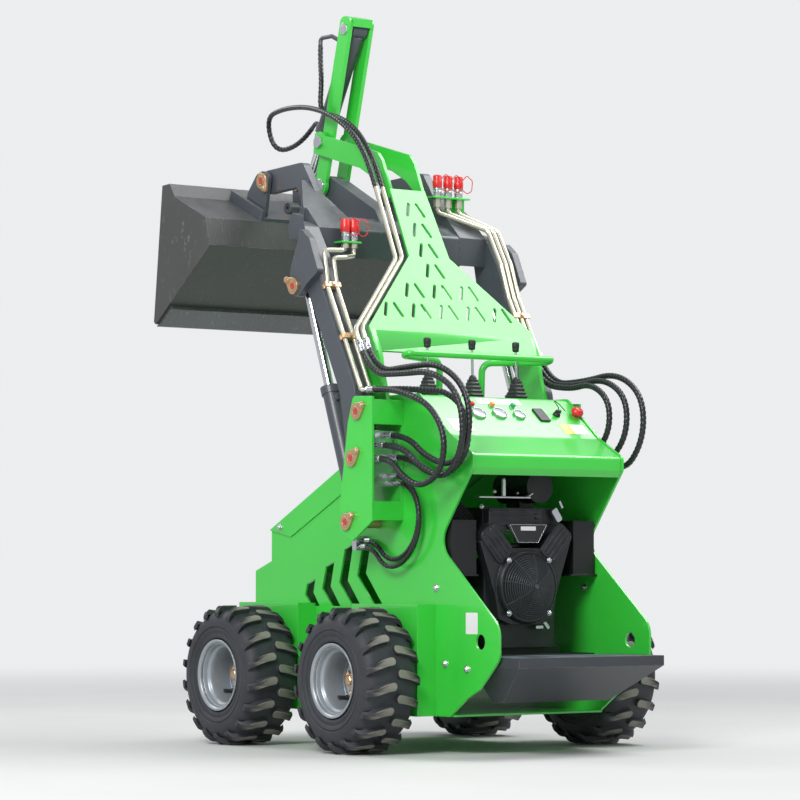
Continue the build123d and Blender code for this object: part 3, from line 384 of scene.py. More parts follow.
def makePiece(name, shells, finish, body, angle=38, bevel=0.0, masks=None, merge=True):
    starts = np.cumsum([0] + [len(s[0]) for s in shells])
    quads = np.concatenate([s[1] + n for s, n in zip(shells, starts)]).tolist()
    caps = [(cap + n).tolist() for s, n in zip(shells, starts) for cap in s[2]]
    mesh = bpy.data.meshes.new(name)
    mesh.from_pydata(np.concatenate([s[0] for s in shells]), [], quads + caps)
    for label, values in (masks or {}).items():
        mesh.attributes.new(label, "FLOAT", "POINT").data.foreach_set("value", np.asarray(values, np.float32))
    work = bmesh.new()
    work.from_mesh(mesh)
    if merge:
        bmesh.ops.remove_doubles(work, verts=work.verts, dist=1e-6)
    bmesh.ops.recalc_face_normals(work, faces=work.faces)
    work.to_mesh(mesh)
    work.free()
    mesh.shade_smooth()
    mesh.set_sharp_from_angle(angle=math.radians(angle))
    mesh.materials.append(made[finish])
    obj = bpy.data.objects.new(name, mesh)
    bpy.context.scene.collection.objects.link(obj)
    if bevel:
        edge = obj.modifiers.new("edge", "BEVEL")
        edge.width, edge.segments, edge.limit_method, edge.angle_limit = bevel, 2, "ANGLE", math.radians(35)
    if body:
        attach(obj, body)
    return obj


# hoses: steel-braided rubber in a plastic spiral guard; points in metres from the rear axle, lengths in metres
hoses = {
    "hose_link_1": {"size": 0.020, "length": 1.225, "bodies": ("chassis", "level_link"), "bend": (1.010, 1.240),
                    "points": [(0.1227, 0.363, 1.3120), (0.0653, 0.363, 1.2013), (-0.110, 0.360, 1.212),
                               (-0.270, 0.356, 1.214), (-0.400, 0.350, 1.128), (-0.415, 0.347, 0.985),
                               (-0.325, 0.345, 0.893), (-0.190, 0.345, 0.920), (-0.080, 0.352, 1.000),
                               (0.0297, 0.352, 1.000)]},
    "hose_link_2": {"size": 0.020, "length": 1.234, "bodies": ("chassis", "level_link"), "bend": (0.980, 1.235),
                    "points": [(0.1190, 0.391, 1.3049), (0.0616, 0.391, 1.1942), (-0.110, 0.388, 1.188),
                               (-0.262, 0.382, 1.190), (-0.392, 0.375, 1.118), (-0.415, 0.371, 0.965),
                               (-0.325, 0.369, 0.852), (-0.195, 0.371, 0.888), (-0.095, 0.384, 0.968),
                               (0.0297, 0.384, 0.968)]},
    "hose_arm_1": {"size": 0.020, "length": 0.993, "bodies": ("chassis", "arms"), "bend": (0.945, 1.135),
                   "points": [(0.0757, 0.355, 1.146), (-0.024, 0.355, 1.146), (-0.140, 0.336, 1.138),
                              (-0.265, 0.325, 1.128), (-0.360, 0.321, 1.060), (-0.372, 0.321, 0.950),
                              (-0.280, 0.321, 0.870), (-0.165, 0.321, 0.872), (-0.070, 0.330, 0.930),
                              (0.0297, 0.330, 0.930)]},
    "hose_arm_2": {"size": 0.020, "length": 0.965, "bodies": ("chassis", "arms"), "bend": (0.940, 1.135),
                   "points": [(0.0757, 0.391, 1.146), (-0.024, 0.391, 1.146), (-0.150, 0.395, 1.124),
                              (-0.275, 0.396, 1.080), (-0.352, 0.396, 0.985), (-0.325, 0.396, 0.870),
                              (-0.215, 0.396, 0.828), (-0.120, 0.398, 0.870), (-0.060, 0.399, 0.925),
                              (0.0297, 0.399, 0.925)]},
    "hose_right_1": {"size": 0.020, "length": 0.940, "bodies": ("chassis", "arms"), "bend": (0.960, 1.215),
                     "points": [(0.1899, -0.351, 1.3017), (0.1290, -0.351, 1.1929), (-0.040, -0.345, 1.166),
                                (-0.165, -0.333, 1.180), (-0.265, -0.327, 1.120), (-0.268, -0.324, 1.015),
                                (-0.185, -0.324, 0.940), (-0.080, -0.330, 0.945), (0.0297, -0.330, 0.945)]},
    "hose_right_2": {"size": 0.020, "length": 1.076, "bodies": ("chassis", "arms"), "bend": (0.980, 1.215),
                     "points": [(0.1899, -0.373, 1.3017), (0.1290, -0.373, 1.1929), (-0.040, -0.369, 1.178),
                                (-0.200, -0.358, 1.196), (-0.322, -0.352, 1.128), (-0.325, -0.349, 1.000),
                                (-0.225, -0.347, 0.912), (-0.100, -0.353, 0.965), (0.0297, -0.353, 0.965)]},
    "hose_right_3": {"size": 0.020, "length": 1.216, "bodies": ("chassis", "arms"), "bend": (1.000, 1.215),
                     "points": [(0.1899, -0.395, 1.3017), (0.1290, -0.395, 1.1929), (-0.050, -0.393, 1.192),
                                (-0.230, -0.387, 1.214), (-0.368, -0.380, 1.135), (-0.378, -0.376, 0.990),
                                (-0.275, -0.374, 0.880), (-0.120, -0.380, 0.985), (0.0297, -0.380, 0.985)]},
    "hose_cylinder_1": {"size": 0.015, "length": 0.589, "bodies": ("chassis",),
                        "points": [(0.0297, 0.317, 0.850), (-0.040, 0.317, 0.850), (-0.105, 0.317, 0.780),
                                   (-0.095, 0.317, 0.680), (-0.020, 0.317, 0.610), (0.070, 0.317, 0.605),
                                   (0.140, 0.317, 0.667), (0.1997, 0.317, 0.667)]},
    "hose_cylinder_2": {"size": 0.015, "length": 0.673, "bodies": ("chassis",),
                        "points": [(0.0297, 0.3335, 0.872), (-0.050, 0.3335, 0.872), (-0.130, 0.3335, 0.790),
                                   (-0.125, 0.3335, 0.672), (-0.040, 0.3335, 0.588), (0.060, 0.3335, 0.580),
                                   (0.128, 0.3335, 0.648), (0.1997, 0.3335, 0.648)]},
    "hose_tilt_upper": {"size": 0.018, "length": 0.769, "bodies": ("arms", "crank"), "bend": (2.060, 2.540),
                        "points": [(0.3995, 0.100, 1.8460), (0.4500, 0.0956, 1.9433), (0.560, 0.092, 2.062),
                                   (0.690, 0.080, 2.122), (0.812, 0.072, 2.146), (0.806, 0.068, 2.258),
                                   (0.8402, 0.0498, 2.332), (0.8452, 0.0458, 2.3875)]},
    "hose_tilt_lower": {"size": 0.018, "length": 1.166, "bodies": ("arms", "crank"), "bend": (2.060, 2.540),
                        "points": [(0.3995, 0.128, 1.8460), (0.4546, 0.1234, 1.9522), (0.560, 0.118, 2.055),
                                   (0.690, 0.108, 2.125), (0.850, 0.098, 2.172), (1.005, 0.092, 2.184),
                                   (1.140, 0.078, 2.170), (1.130, 0.048, 2.045), (1.0002, 0.0257, 2.0598),
                                   (0.9353, 0.020, 2.1118)]},
}
guard = {"pitch": 0.0160, "gapShare": 0.30, "gapDepth": 0.15, "step": 0.0026, "round": 20}
ferrule = {"length": 0.040, "nut": 0.016, "crimps": 4}


def smoothLine(points):
    # the hose's middle line: a NURBS line with the route's points as its control points
    curve = bpy.data.curves.new("route", "CURVE")
    curve.dimensions = "3D"
    line = curve.splines.new("NURBS")
    line.points.add(len(points) - 1)
    line.points.foreach_set("co", np.c_[points, np.ones(len(points))].ravel())
    line.order_u, line.use_endpoint_u, line.resolution_u = 3, True, 40
    route = bpy.data.objects.new("route", curve)
    bpy.context.scene.collection.objects.link(route)
    bpy.context.view_layer.update()
    mesh = bpy.data.meshes.new_from_object(route)
    co = np.empty(len(mesh.vertices) * 3)
    mesh.vertices.foreach_get("co", co)
    bpy.data.objects.remove(route)
    bpy.data.curves.remove(curve)
    bpy.data.meshes.remove(mesh)
    return co.reshape(-1, 3)


def evenly(path, step):
    # the same line at equal steps of its length
    run = np.r_[0, np.cumsum(np.linalg.norm(np.diff(path, axis=0), axis=1))]
    at = np.linspace(0, run[-1], max(int(run[-1] / step), 2) + 1)
    return np.stack([np.interp(at, run, path[:, k]) for k in range(3)], -1), at


def hoseTube(name, s):
    # radius = size / 2, less a groove wherever run / pitch - turn falls between two coils of the guard
    path, run = evenly(smoothLine(fromAxle(s["points"])), guard["step"])
    turn = np.arange(guard["round"]) * 2 * np.pi / guard["round"]
    phase = (run[:, None] / guard["pitch"] - turn[None] / (2 * np.pi)) % 1.0
    groove = np.clip(1 - np.abs(phase - 0.5) / (guard["gapShare"] * 0.75), 0, 1) ** 0.5
    r = s["size"] / 2 * (1 - guard["gapDepth"] * groove)
    w, u = across(np.gradient(path, axis=0))
    ring = np.cos(turn)[None, :, None] * w[:, None] + np.sin(turn)[None, :, None] * u[:, None]
    bends = len(s["bodies"]) == 2
    tube = makePiece("guard_" + name, [skin(path[:, None] + r[..., None] * ring)], "hoseGuard",
                     None if bends else s["bodies"][0], angle=60, merge=False)
    if bends:
        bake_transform(tube)
    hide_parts(name)
    return path


def ferruleShells(start, direction, size):
    # crimped sleeve over the hose's end with a hexagon nut behind it
    r, n, nut = size * 0.54, ferrule["length"], ferrule["nut"]
    at = np.linspace(nut, n, ferrule["crimps"] * 6 + 1)
    sleeve = np.c_[at, r * (1 + 0.035 * np.cos((at - nut) / (n - nut) * ferrule["crimps"] * 2 * np.pi))]
    rows = [(nut - 0.001, 0.0), (nut - 0.001, r * 0.9), *sleeve.tolist(), (n + 0.002, r * 0.92), (n + 0.002, 0.0)]
    w, u = across(direction)
    hexagon = roundShape(r * 1.02, 6)
    return [revolve(rows, start, direction, 20),
            prism(hexagon, start + unit(direction) * 0.0004, w, u, nut, 0.0012)]


hosePaths = {name: hoseTube(name, s) for name, s in hoses.items()}
for body in ("chassis", "level_link", "arms"):
    shells = []
    for name, s in hoses.items():
        path = hosePaths[name]
        nearBody = s["bodies"][-1] if s["bodies"][0] == "chassis" else None
        if nearBody == body:
            shells += ferruleShells(path[0], path[3] - path[0], s["size"])
        if s["bodies"][0] == body == "chassis":
            shells += ferruleShells(path[-1], path[-4] - path[-1], s["size"])
    if shells:
        makePiece("ferrules_" + body, shells, "brightZinc", body)
print("hoses made", len(hosePaths))


# tyres: rounded carcass with ribbed walls, and slanting lugs with round inner ends that run over the shoulder
tyre = {"radius": 0.2284, "width": 0.200, "lugHeight": 0.017, "lugPairs": 18, "seat": 0.103, "centreZ": 0.2285,
        "wheelbase": 0.664, "track": 0.485, "turn": math.asin(31.0 / 228.5)}
wheelPlaces = {"rear_left": (0.0, 1), "rear_right": (0.0, -1), "front_left": (tyre["wheelbase"], 1),
               "front_right": (tyre["wheelbase"], -1)}


def crown(y, s):
    # radius of the lugs' tops over the width: nearly flat, then falling round the shoulder
    edge = np.clip((np.abs(y) - 0.070) / 0.030, 0, 1)
    return s["radius"] - 0.0006 * (np.abs(y) / 0.07).clip(0, 1) ** 2 - 0.026 * edge ** 2.2


def carcassShell(s):
    # rows across, radius; right round the section and back through the bead seat
    half, base = s["width"] / 2, s["radius"] - s["lugHeight"]
    outer = [(0.0, base), (half - 0.042, base - 0.001), (half - 0.024, base - 0.005), (half - 0.011, base - 0.015),
             (half - 0.003, base - 0.030), (half - 0.0006, 0.168), (half - 0.001, 0.160), (half - 0.0042, 0.158),
             (half - 0.0042, 0.155), (half - 0.002, 0.153), (half - 0.004, 0.143), (half - 0.0065, 0.141),
             (half - 0.007, 0.134), (half - 0.005, 0.131), (half - 0.007, 0.124), (half - 0.012, 0.119),
             (half - 0.017, 0.1185), (half - 0.019, 0.112), (half - 0.020, s["seat"])]
    rows = outer + [(-y, r) for y, r in outer[::-1][:-1]]
    return revolve(rows, (0, 0, 0), (0, 1, 0), 144, loop=True)


def lugShells(s):
    # bar in the plane of tread: x around, y across; outline is a strip with a half-round inner end.
    # Level k lifts it from the carcass to the crown; x / radius is the angle round the wheel
    n, ends = 14, 9
    along = np.linspace(0.014, 0.0985, n)
    middle = -0.004 - 0.05 * along - 2.6 * along ** 2
    halfWide = 0.0138 - 0.0030 * (along / 0.0985) ** 2
    front = np.stack([middle + halfWide, along], -1)
    back = np.stack([middle - halfWide, along], -1)[::-1]
    t = np.linspace(np.pi, 2 * np.pi, ends + 2)[1:-1]
    inner = np.stack([middle[0] + halfWide[0] * np.cos(t), along[0] + 0.0110 * np.sin(t)], -1)
    outline = np.concatenate([inner, front, back])
    centre = np.interp(outline[:, 1], along, middle)
    base = s["radius"] - s["lugHeight"] - 0.004
    levels = [(0.0, 1.25), (0.35, 1.10), (0.80, 1.0), (0.95, 0.97), (1.0, 0.88)]
    rows, tread = [], []
    for lift, wide in levels:
        x = centre + (outline[:, 0] - centre) * wide
        y = outline[:, 1] if wide > 0.9 else 0.060 + (outline[:, 1] - 0.060) * 0.975
        low = np.minimum(base, crown(y, s) - 0.012)
        rows.append(np.stack([x, y, low + (crown(y, s) - low) * lift], -1))
        tread.append(np.clip((lift - 0.8) * 5, 0, 1) * np.clip((0.074 - y) / 0.012, 0, 1))
    flat = np.stack(rows)                                             # level, outline, (x, y, radius)
    pitch = 2 * np.pi / s["lugPairs"]
    both = np.concatenate([np.arange(s["lugPairs"]) * pitch, (np.arange(s["lugPairs"]) + 0.5) * pitch])
    side = np.repeat([1, -1], s["lugPairs"])
    shells, masks = [], []
    for turn, sign in zip(both + s["turn"], side):
        a = turn + flat[..., 0] / s["radius"]
        grid = np.stack([flat[..., 2] * np.sin(a), flat[..., 1] * sign, flat[..., 2] * np.cos(a)], -1)
        shells.append(skin(grid))
        masks.append(np.concatenate(tread))
    return shells, masks


carcass, (lugs, lugMasks) = carcassShell(tyre), lugShells(tyre)
treadMask = np.concatenate([np.zeros(len(carcass[0])), *lugMasks])
for name, (x, side) in wheelPlaces.items():
    centre = fromAxle((x, side * tyre["track"], tyre["centreZ"]))
    shells = [(p * (1, side, 1) + centre, q, c) for p, q, c in [carcass] + lugs]
    piece = makePiece("tread_" + name, shells, "tyreRubber", "wheel_" + name, angle=44, masks={"tread": treadMask},
                      merge=False)
    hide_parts("tyre_" + name)
print("tyres made")


# rims: rolled lips, bead seats and a deep stepped well, with the disc set far in and a bolted hub
rimShape = {"lip": 0.1168, "seat": 0.1030, "well": 0.0880, "disc": -0.021}


def rimShells(s):
    # rows across, radius: round the whole section of the well, from the outer lip in and back along its other side
    inside = [(0.0944, s["lip"]), (0.0950, s["lip"] - 0.003), (0.0935, s["lip"] - 0.0065), (0.088, 0.1055),
              (0.080, 0.1005), (0.070, 0.0990), (0.066, 0.0975), (0.064, 0.0930), (0.060, 0.0900),
              (0.044, s["well"]), (-0.012, s["well"]), (-0.030, 0.0960), (-0.060, 0.0985), (-0.090, 0.1060)]
    outside = [(-0.0950, s["lip"] - 0.003), (-0.0944, s["lip"]), (-0.090, s["lip"]), (-0.087, s["seat"]),
               (0.087, s["seat"]), (0.090, s["lip"])]
    disc = [(s["disc"], 0.0), (s["disc"], s["well"] + 0.006), (s["disc"] + 0.006, s["well"] + 0.006),
            (s["disc"] + 0.007, 0.076), (s["disc"] + 0.013, 0.070), (s["disc"] + 0.013, 0.066),
            (s["disc"] + 0.006, 0.060), (s["disc"] + 0.006, 0.034), (s["disc"] + 0.020, 0.033),
            (s["disc"] + 0.022, 0.030), (s["disc"] + 0.022, 0.020), (s["disc"] + 0.040, 0.0195),
            (s["disc"] + 0.040, 0.0)]
    flange = [(s["disc"] - 0.012, 0.0), (s["disc"] - 0.012, 0.065), (s["disc"] + 0.001, 0.065),
              (s["disc"] + 0.001, 0.0)]
    shaft = [(-0.0866, 0.0), (-0.0866, 0.030), (s["disc"] - 0.011, 0.030), (s["disc"] - 0.011, 0.0)]
    return [revolve(inside + outside, (0, 0, 0), (0, 1, 0), 96, loop=True),
            *[revolve(rows, (0, 0, 0), (0, 1, 0), 64) for rows in (disc, flange, shaft)]]


for name, (x, side) in wheelPlaces.items():
    centre = fromAxle((x, side * tyre["track"], tyre["centreZ"]))
    shells = [(p * (1, side, 1) + centre, q, c) for p, q, c in rimShells(rimShape)]
    piece = makePiece("wheel_rim_" + name, shells, "rimPaint", "wheel_" + name, angle=50)
    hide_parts("rim_" + name)
print("rims made")


# wheel trim: brass nuts with washers, studs, a brass hub ring with a centre nut, and a black valve stem
wheelTrim = {"nutCircle": 0.052, "nuts": 5, "nutFace": -0.015, "nutHigh": 0.0155, "nutSize": 0.0118, "valveAt": 0.084,
             "valveTurn": 2.3}


def nutShells(centre, axis, size, high, stud=0.0):
    # washer, hexagon with chamfered top, and the stud's end
    w, u = across(axis)
    shells = [revolve([(0, 0), (0, size * 1.25), (size * 0.22, size * 1.25), (size * 0.22, 0)], centre, axis, 24),
              prism(roundShape(size, 6), centre + unit(axis) * size * 0.2, w, u, high, size * 0.14)]
    if stud:
        shells.append(revolve([(0, size * 0.5), (high + stud, size * 0.5), (high + stud + size * 0.12, size * 0.36)],
                              centre, axis, 16))
    return shells


for name, (x, side) in wheelPlaces.items():
    centre, axis = fromAxle((x, side * tyre["track"], tyre["centreZ"])), np.array((0.0, side, 0.0))
    turns = np.arange(wheelTrim["nuts"]) * 2 * np.pi / wheelTrim["nuts"]
    nuts = []
    for t in turns:
        foot = centre + wheelTrim["nutCircle"] * np.array((math.sin(t), 0, math.cos(t))) + axis * wheelTrim["nutFace"]
        nuts += nutShells(foot, axis, wheelTrim["nutSize"], wheelTrim["nutHigh"], 0.004)
    hub = [revolve([(0.001, 0.030), (0.0045, 0.0295), (0.0065, 0.026), (0.0065, 0.021)], centre + axis * 0.0, axis, 40),
           *nutShells(centre + axis * 0.019, axis, 0.017, 0.010)]
    makePiece("nuts_" + name, nuts + hub, "yellowZinc", "wheel_" + name)
    out = np.array((math.sin(wheelTrim["valveTurn"]), 0.0, math.cos(wheelTrim["valveTurn"])))
    foot = centre + out * wheelTrim["valveAt"] - axis * 0.014
    stem = [(0, 0.0), (0, 0.009), (0.006, 0.0085), (0.010, 0.0055), (0.030, 0.0045), (0.031, 0.0042), (0.031, 0.0048),
            (0.041, 0.0048), (0.042, 0.0)]
    makePiece("valve_" + name, [revolve(stem, foot, axis - out * 0.12, 16)], "blackPlastic", "wheel_" + name)
print("wheel trim made")


# keeper plates' bolts and the painted ends of the pins
keepers = {"ear": 0.038, "plate": 0.009,
           "rows": [("chassis", 0.079, 1.076, 0.424, 150), ("chassis", 0.107, 0.928, 0.424, 146),
                    ("chassis", 0.137, 0.726, 0.424, 150), ("arms", 0.432, 1.501, 0.430, 35),
                    ("bucket", 0.842, 1.899, 0.286, 235)]}


def makeKeepers(s):
    bolts, dabs = {}, {}
    for body, x, z, y, turn in s["rows"]:
        for side in (1, -1):
            axis = np.array((0.0, side, 0.0))
            face = fromAxle((x, side * (y + s["plate"]), z))
            a = math.radians(turn)
            ear = face + s["ear"] * np.array((math.cos(a), 0, math.sin(a)))
            bolts.setdefault(body, []).extend(nutShells(ear, axis, 0.0092, 0.0062))
            # the pin's end: a shallow dome inside a turned groove
            dabs.setdefault(body, []).append(
                revolve([(0, 0), (0, 0.0105), (0.0012, 0.0100), (0.0016, 0.0060), (0.0010, 0.0035), (0.0004, 0.0)],
                        face, axis, 28))
            bolts[body].append(revolve([(0, 0.013), (0.0014, 0.0135), (0.0018, 0.0165), (0, 0.0172)], face, axis, 32,
                                       loop=True))
    for body in bolts:
        makePiece("keeper_bolts_" + body, bolts[body], "yellowZinc", body)
        makePiece("pin_paint_" + body, dabs[body], "pinRed", body)


makeKeepers(keepers)

# hexagon bolts: body, finish, axis, size, rows of x, y, z in metres from the rear axle
boltSets = [
    ("chassis", "brightZinc", (0, 1, 0), 0.0095, [(-0.1765, 0.302, 0.517), (-0.223, 0.302, 0.282), (-0.336, 0.302, 0.268),
                                                 (0.214, 0.3063, 0.925), (0.700, 0.3063, 0.715)]),
    ("chassis", "brightZinc", (0, -1, 0), 0.0095, [(-0.1765, -0.302, 0.517), (-0.223, -0.302, 0.282),
                                                  (-0.336, -0.302, 0.268), (0.214, -0.3063, 0.925),
                                                  (0.700, -0.3063, 0.715)]),
    ("chassis", "brightZinc", (-1, 0, 0), 0.0075, [(-0.2600, 0.080, 0.603), (-0.2600, -0.080, 0.603),
                                                  (-0.2600, 0.080, 0.437), (-0.2600, -0.080, 0.437)]),
    ("chassis", "brightZinc", (0, 1, 0), 0.0085, [(-0.1765, -0.294, 0.517)]),
    ("chassis", "brightZinc", (0, -1, 0), 0.0085, [(-0.1765, 0.294, 0.517)]),
]
for k, (body, finish, axis, size, rows) in enumerate(boltSets):
    axis = np.array(axis, float)
    shells = [shell for row in rows for shell in nutShells(fromAxle(row), axis, size, size * 0.75, 0.003)]
    makePiece(f"bolts_{k}", shells, finish, body)
print("bolts made")


# level link: the plate's slots are cut through a merged copy of the node
slotSet = {"low": (0.099, 0.0, 1.275), "up": (0.4603, 0.0, 0.8878), "length": 0.060, "width": 0.0125, "lean": 22.0,
           "rows": [(0.588, (0,)), (0.508, (0,)), (0.428, (0,)), (0.348, (0,)), (0.267, (-0.111, 0, 0.111)),
                    (0.188, (-0.222, -0.111, 0, 0.111, 0.222))]}


def slottedLink(s):
    up, left = unit(s["up"]), np.array((0.0, 1.0, 0.0))
    out = np.cross(left, up)
    shells = []
    ring = roundShape(s["width"] / 2, 16, np.pi / 32)
    for top, columns in s["rows"]:
        for column in columns:
            for side in (1, -1):
                lean = math.radians(s["lean"]) * side
                along = np.array((math.cos(lean), -math.sin(lean)))                     # (up, left) of the slot's run
                shift = np.where(ring @ along > 0, 1, -1)[:, None] * along * (s["length"] - s["width"]) / 2
                centre = np.array((top - 0.027, column + side * 0.025))
                flat = ring + shift + centre
                order = flat[np.argsort(np.arctan2(*(flat - flat.mean(0)).T))]
                shells.append(prism(order, fromAxle(s["low"]) + out * 0.03, up, left, 0.06))
    cutter = makePiece("slot_cutter", shells, "greenPaint", "level_link")
    copy = nodes["level_link"].copy()
    copy.data = nodes["level_link"].data.copy()
    for key in [k for k in copy.keys() if k.startswith("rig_")]:
        del copy[key]
    copy.name = "link_slotted"
    bpy.context.scene.collection.objects.link(copy)
    work = bmesh.new()
    work.from_mesh(copy.data)
    bmesh.ops.remove_doubles(work, verts=work.verts, dist=1e-5)
    work.to_mesh(copy.data)
    work.free()
    cut = copy.modifiers.new("cut", "BOOLEAN")
    cut.operation, cut.object, cut.solver = "DIFFERENCE", cutter, "EXACT"
    bpy.context.view_layer.update()
    done = bpy.data.meshes.new_from_object(copy.evaluated_get(bpy.context.evaluated_depsgraph_get()))
    copy.modifiers.clear()
    copy.data = done
    bpy.data.objects.remove(cutter)
    done.shade_smooth()
    done.set_sharp_from_angle(angle=math.radians(25))
    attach(copy, "level_link")
    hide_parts("level_link")


slottedLink(slotSet)
print("link slots cut")


# console: gauges with bezels and glass, lamps, switch, hour meter, key on a wire and the red knob
panel = {"low": (-0.249, 0.0, 0.992), "high": (-0.083, 0.0, 1.127)}
panelUp = unit(np.subtract(panel["high"], panel["low"]))
panelLeft = np.array((0.0, 1.0, 0.0))
panelOut = np.cross(panelUp, panelLeft) * -1
if panelOut[2] < 0:
    panelOut = -panelOut
gauges = {"rows": [(0.122, 0.118, 0.0258), (0.036, 0.122, 0.0258), (-0.041, 0.118, 0.0218)], "high": 0.009}
lampRows = {"redPlastic": (0.122, 0.166), "amberPlastic": (0.041, 0.167), "jadePlastic": (-0.042, 0.166)}


def onPanel(y, up, out=0.0):
    return fromAxle(panel["low"]) + panelUp * up + panelLeft * y + panelOut * (out + 0.0003)


def makeConsole():
    bezels, faces, marks = [], [], []
    for y, up, r in gauges["rows"]:
        c = onPanel(y, up)
        bezels.append(revolve([(0, r * 0.86), (0, r), (0.005, r), (0.0082, r * 0.96), (0.009, r * 0.90),
                               (0.0078, r * 0.85), (0.004, r * 0.84)], c, panelOut, 48, loop=True))
        faces.append(revolve([(0.001, 0), (0.001, r * 0.9), (0.0048, r * 0.9), (0.0056, r * 0.6), (0.0060, 0.0)], c,
                             panelOut, 48))
        # scale marks stand on the face along three quarters of a turn, with a needle
        for t in np.radians(np.linspace(-45, 225, 11)):
            a, b = panelLeft * math.cos(t) + panelUp * math.sin(t), panelUp * math.cos(t) - panelLeft * math.sin(t)
            marks.append(prism(boxShape(r * 0.16, 0.0009, 0.0003, 3), c + a * r * 0.66 + panelOut * 0.0052, a, b,
                               0.0007))
        t = math.radians(200)
        a, b = panelLeft * math.cos(t) + panelUp * math.sin(t), panelUp * math.cos(t) - panelLeft * math.sin(t)
        marks.append(prism(boxShape(r * 0.6, 0.0014, 0.0006, 3), c + a * r * 0.24 + panelOut * 0.0060, a, b, 0.0008))
    makePiece("gauge_bezels", bezels, "brightZinc", "chassis")
    face = makePiece("gauge_faces", faces, "dialFace", "chassis")
    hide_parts("instruments")
    makePiece("gauge_marks", marks, "blackPlastic", "chassis")
    for finish, (y, up) in lampRows.items():
        c = onPanel(y, up)
        dome = [(0, 0), (0, 0.0092), (0.007, 0.0092), (0.0110, 0.0078), (0.0130, 0.0045), (0.0135, 0.0)]
        ring = [(0, 0.0093), (0, 0.0118), (0.0022, 0.0114), (0.0026, 0.0093)]
        makePiece("lamp_" + finish, [revolve(dome, c, panelOut, 24)], finish, "chassis")
        makePiece("lamp_ring_" + finish, [revolve(ring, c, panelOut, 24, loop=True)], "brightZinc", "chassis")
    # hour meter with a blank window, ignition switch, toggle
    c = onPanel(-0.133, 0.122)
    frameShape = boxShape(0.066, 0.040, 0.004)
    dark = [prism(frameShape, c, panelLeft, panelUp, 0.006, 0.0015) if np.cross(panelLeft, panelUp) @ panelOut > 0
            else prism(frameShape, c, panelUp, panelLeft, 0.006, 0.0015)]
    key = onPanel(-0.200, 0.128)
    dark.append(revolve([(0, 0), (0, 0.0128), (0.005, 0.0125), (0.007, 0.0105), (0.012, 0.0095), (0.0125, 0.0)], key,
                        panelOut, 30))
    head = key + panelOut * 0.012
    dark.append(prism(boxShape(0.024, 0.007, 0.003), head, panelLeft, panelUp, 0.008, 0.002)
                if np.cross(panelLeft, panelUp) @ panelOut > 0
                else prism(boxShape(0.007, 0.024, 0.003), head, panelUp, panelLeft, 0.008, 0.002))
    toggle = onPanel(0.151, 0.143)
    dark.append(revolve([(0, 0), (0, 0.0078), (0.004, 0.0075), (0.005, 0.004), (0.016, 0.0028), (0.0162, 0.0)], toggle,
                        panelOut, 20))
    makePiece("switches", dark, "blackPlastic", "chassis")
    knob = onPanel(-0.278, 0.127)
    mushroom = [(0, 0), (0, 0.0120), (0.008, 0.0115), (0.0095, 0.0185), (0.013, 0.0208), (0.019, 0.0205),
                (0.026, 0.0165), (0.030, 0.0090), (0.0305, 0.0)]
    makePiece("stop_knob", [revolve(mushroom, knob, panelOut, 32)], "redPlastic", "chassis")


makeConsole()


# blank labels and the white strip: thin plates on the surfaces, rows of corners in metres from the rear axle
labels = [
    ("label_left", "whiteLabel", "chassis", onPanel(0.226, 0.056), panelLeft, panelUp, panelOut, (0.084, 0.064)),
    ("label_right", "whiteLabel", "chassis", onPanel(-0.246, 0.052), panelLeft, panelUp, panelOut, (0.060, 0.052)),
    ("label_yellow", "yellowLabel", "chassis", onPanel(-0.196, 0.052), panelLeft, panelUp, panelOut, (0.036, 0.052)),
    ("strip_top", "whiteLabel", "chassis", onPanel(0.0, 0.190), panelLeft, panelUp, panelOut, (0.176, 0.030)),
]


def makeLabels(rows):
    for name, finish, body, centre, a, b, out, (wide, high) in rows:
        if np.cross(a, b) @ out < 0:
            a, b, wide, high = b, a, high, wide
        makePiece(name, [prism(boxShape(wide, high, 0.003), centre, a, b, 0.0006, 0.0001)], finish, body)


ahead, leftward, upward = np.eye(3)
labels += [
    ("label_side", "whiteLabel", "chassis", fromAxle((-0.359, 0.3021, 0.409)), ahead, upward, leftward, (0.060, 0.066)),
    ("label_frame", "whiteLabel", "arms", fromAxle((0.420, -0.145, 1.665)), leftward, upward, -ahead, (0.045, 0.040)),
]
makeLabels(labels)
print("console and labels made")


# key's wire hook, hung in the switch
def bentTube(points, radius, count=10, smooth=6, side=(0, 1, 0)):
    # a round bar bent through its points, each corner eased by averaging neighbours along the line
    line = evenly(np.asarray(points, float), radius * 0.8)[0]
    kernel = np.ones(2 * smooth + 1) / (2 * smooth + 1)
    padded = np.concatenate([np.repeat(line[:1], smooth, 0), line, np.repeat(line[-1:], smooth, 0)])
    eased = np.stack([np.convolve(padded[:, k], kernel, mode="valid") for k in range(3)], -1)
    eased[0], eased[-1] = line[0], line[-1]
    return carry(eased, roundShape(radius, count), side)


key = onPanel(-0.200, 0.128, 0.016)
hook = [key, key + panelOut * 0.010 + panelUp * 0.004, key + panelOut * 0.020 + panelUp * 0.026 + panelLeft * 0.012,
        key + panelOut * 0.012 + panelUp * 0.040 - panelLeft * 0.004, key + panelOut * 0.002 + panelUp * 0.032
        - panelLeft * 0.026, key + panelUp * 0.018 - panelOut * 0.012 - panelLeft * 0.046]
makePiece("key_wire", [bentTube(hook, 0.0015)], "blackPlastic", "chassis")


# levers: ribbed rubber boots, steel rods and ribbed knobs in place of the plain ones
levers = {"x": 0.034, "ys": (-0.180, 0.0, 0.180), "foot": 1.1273, "top": 1.290, "boot": 0.062, "folds": 5,
          "rod": 0.0045}


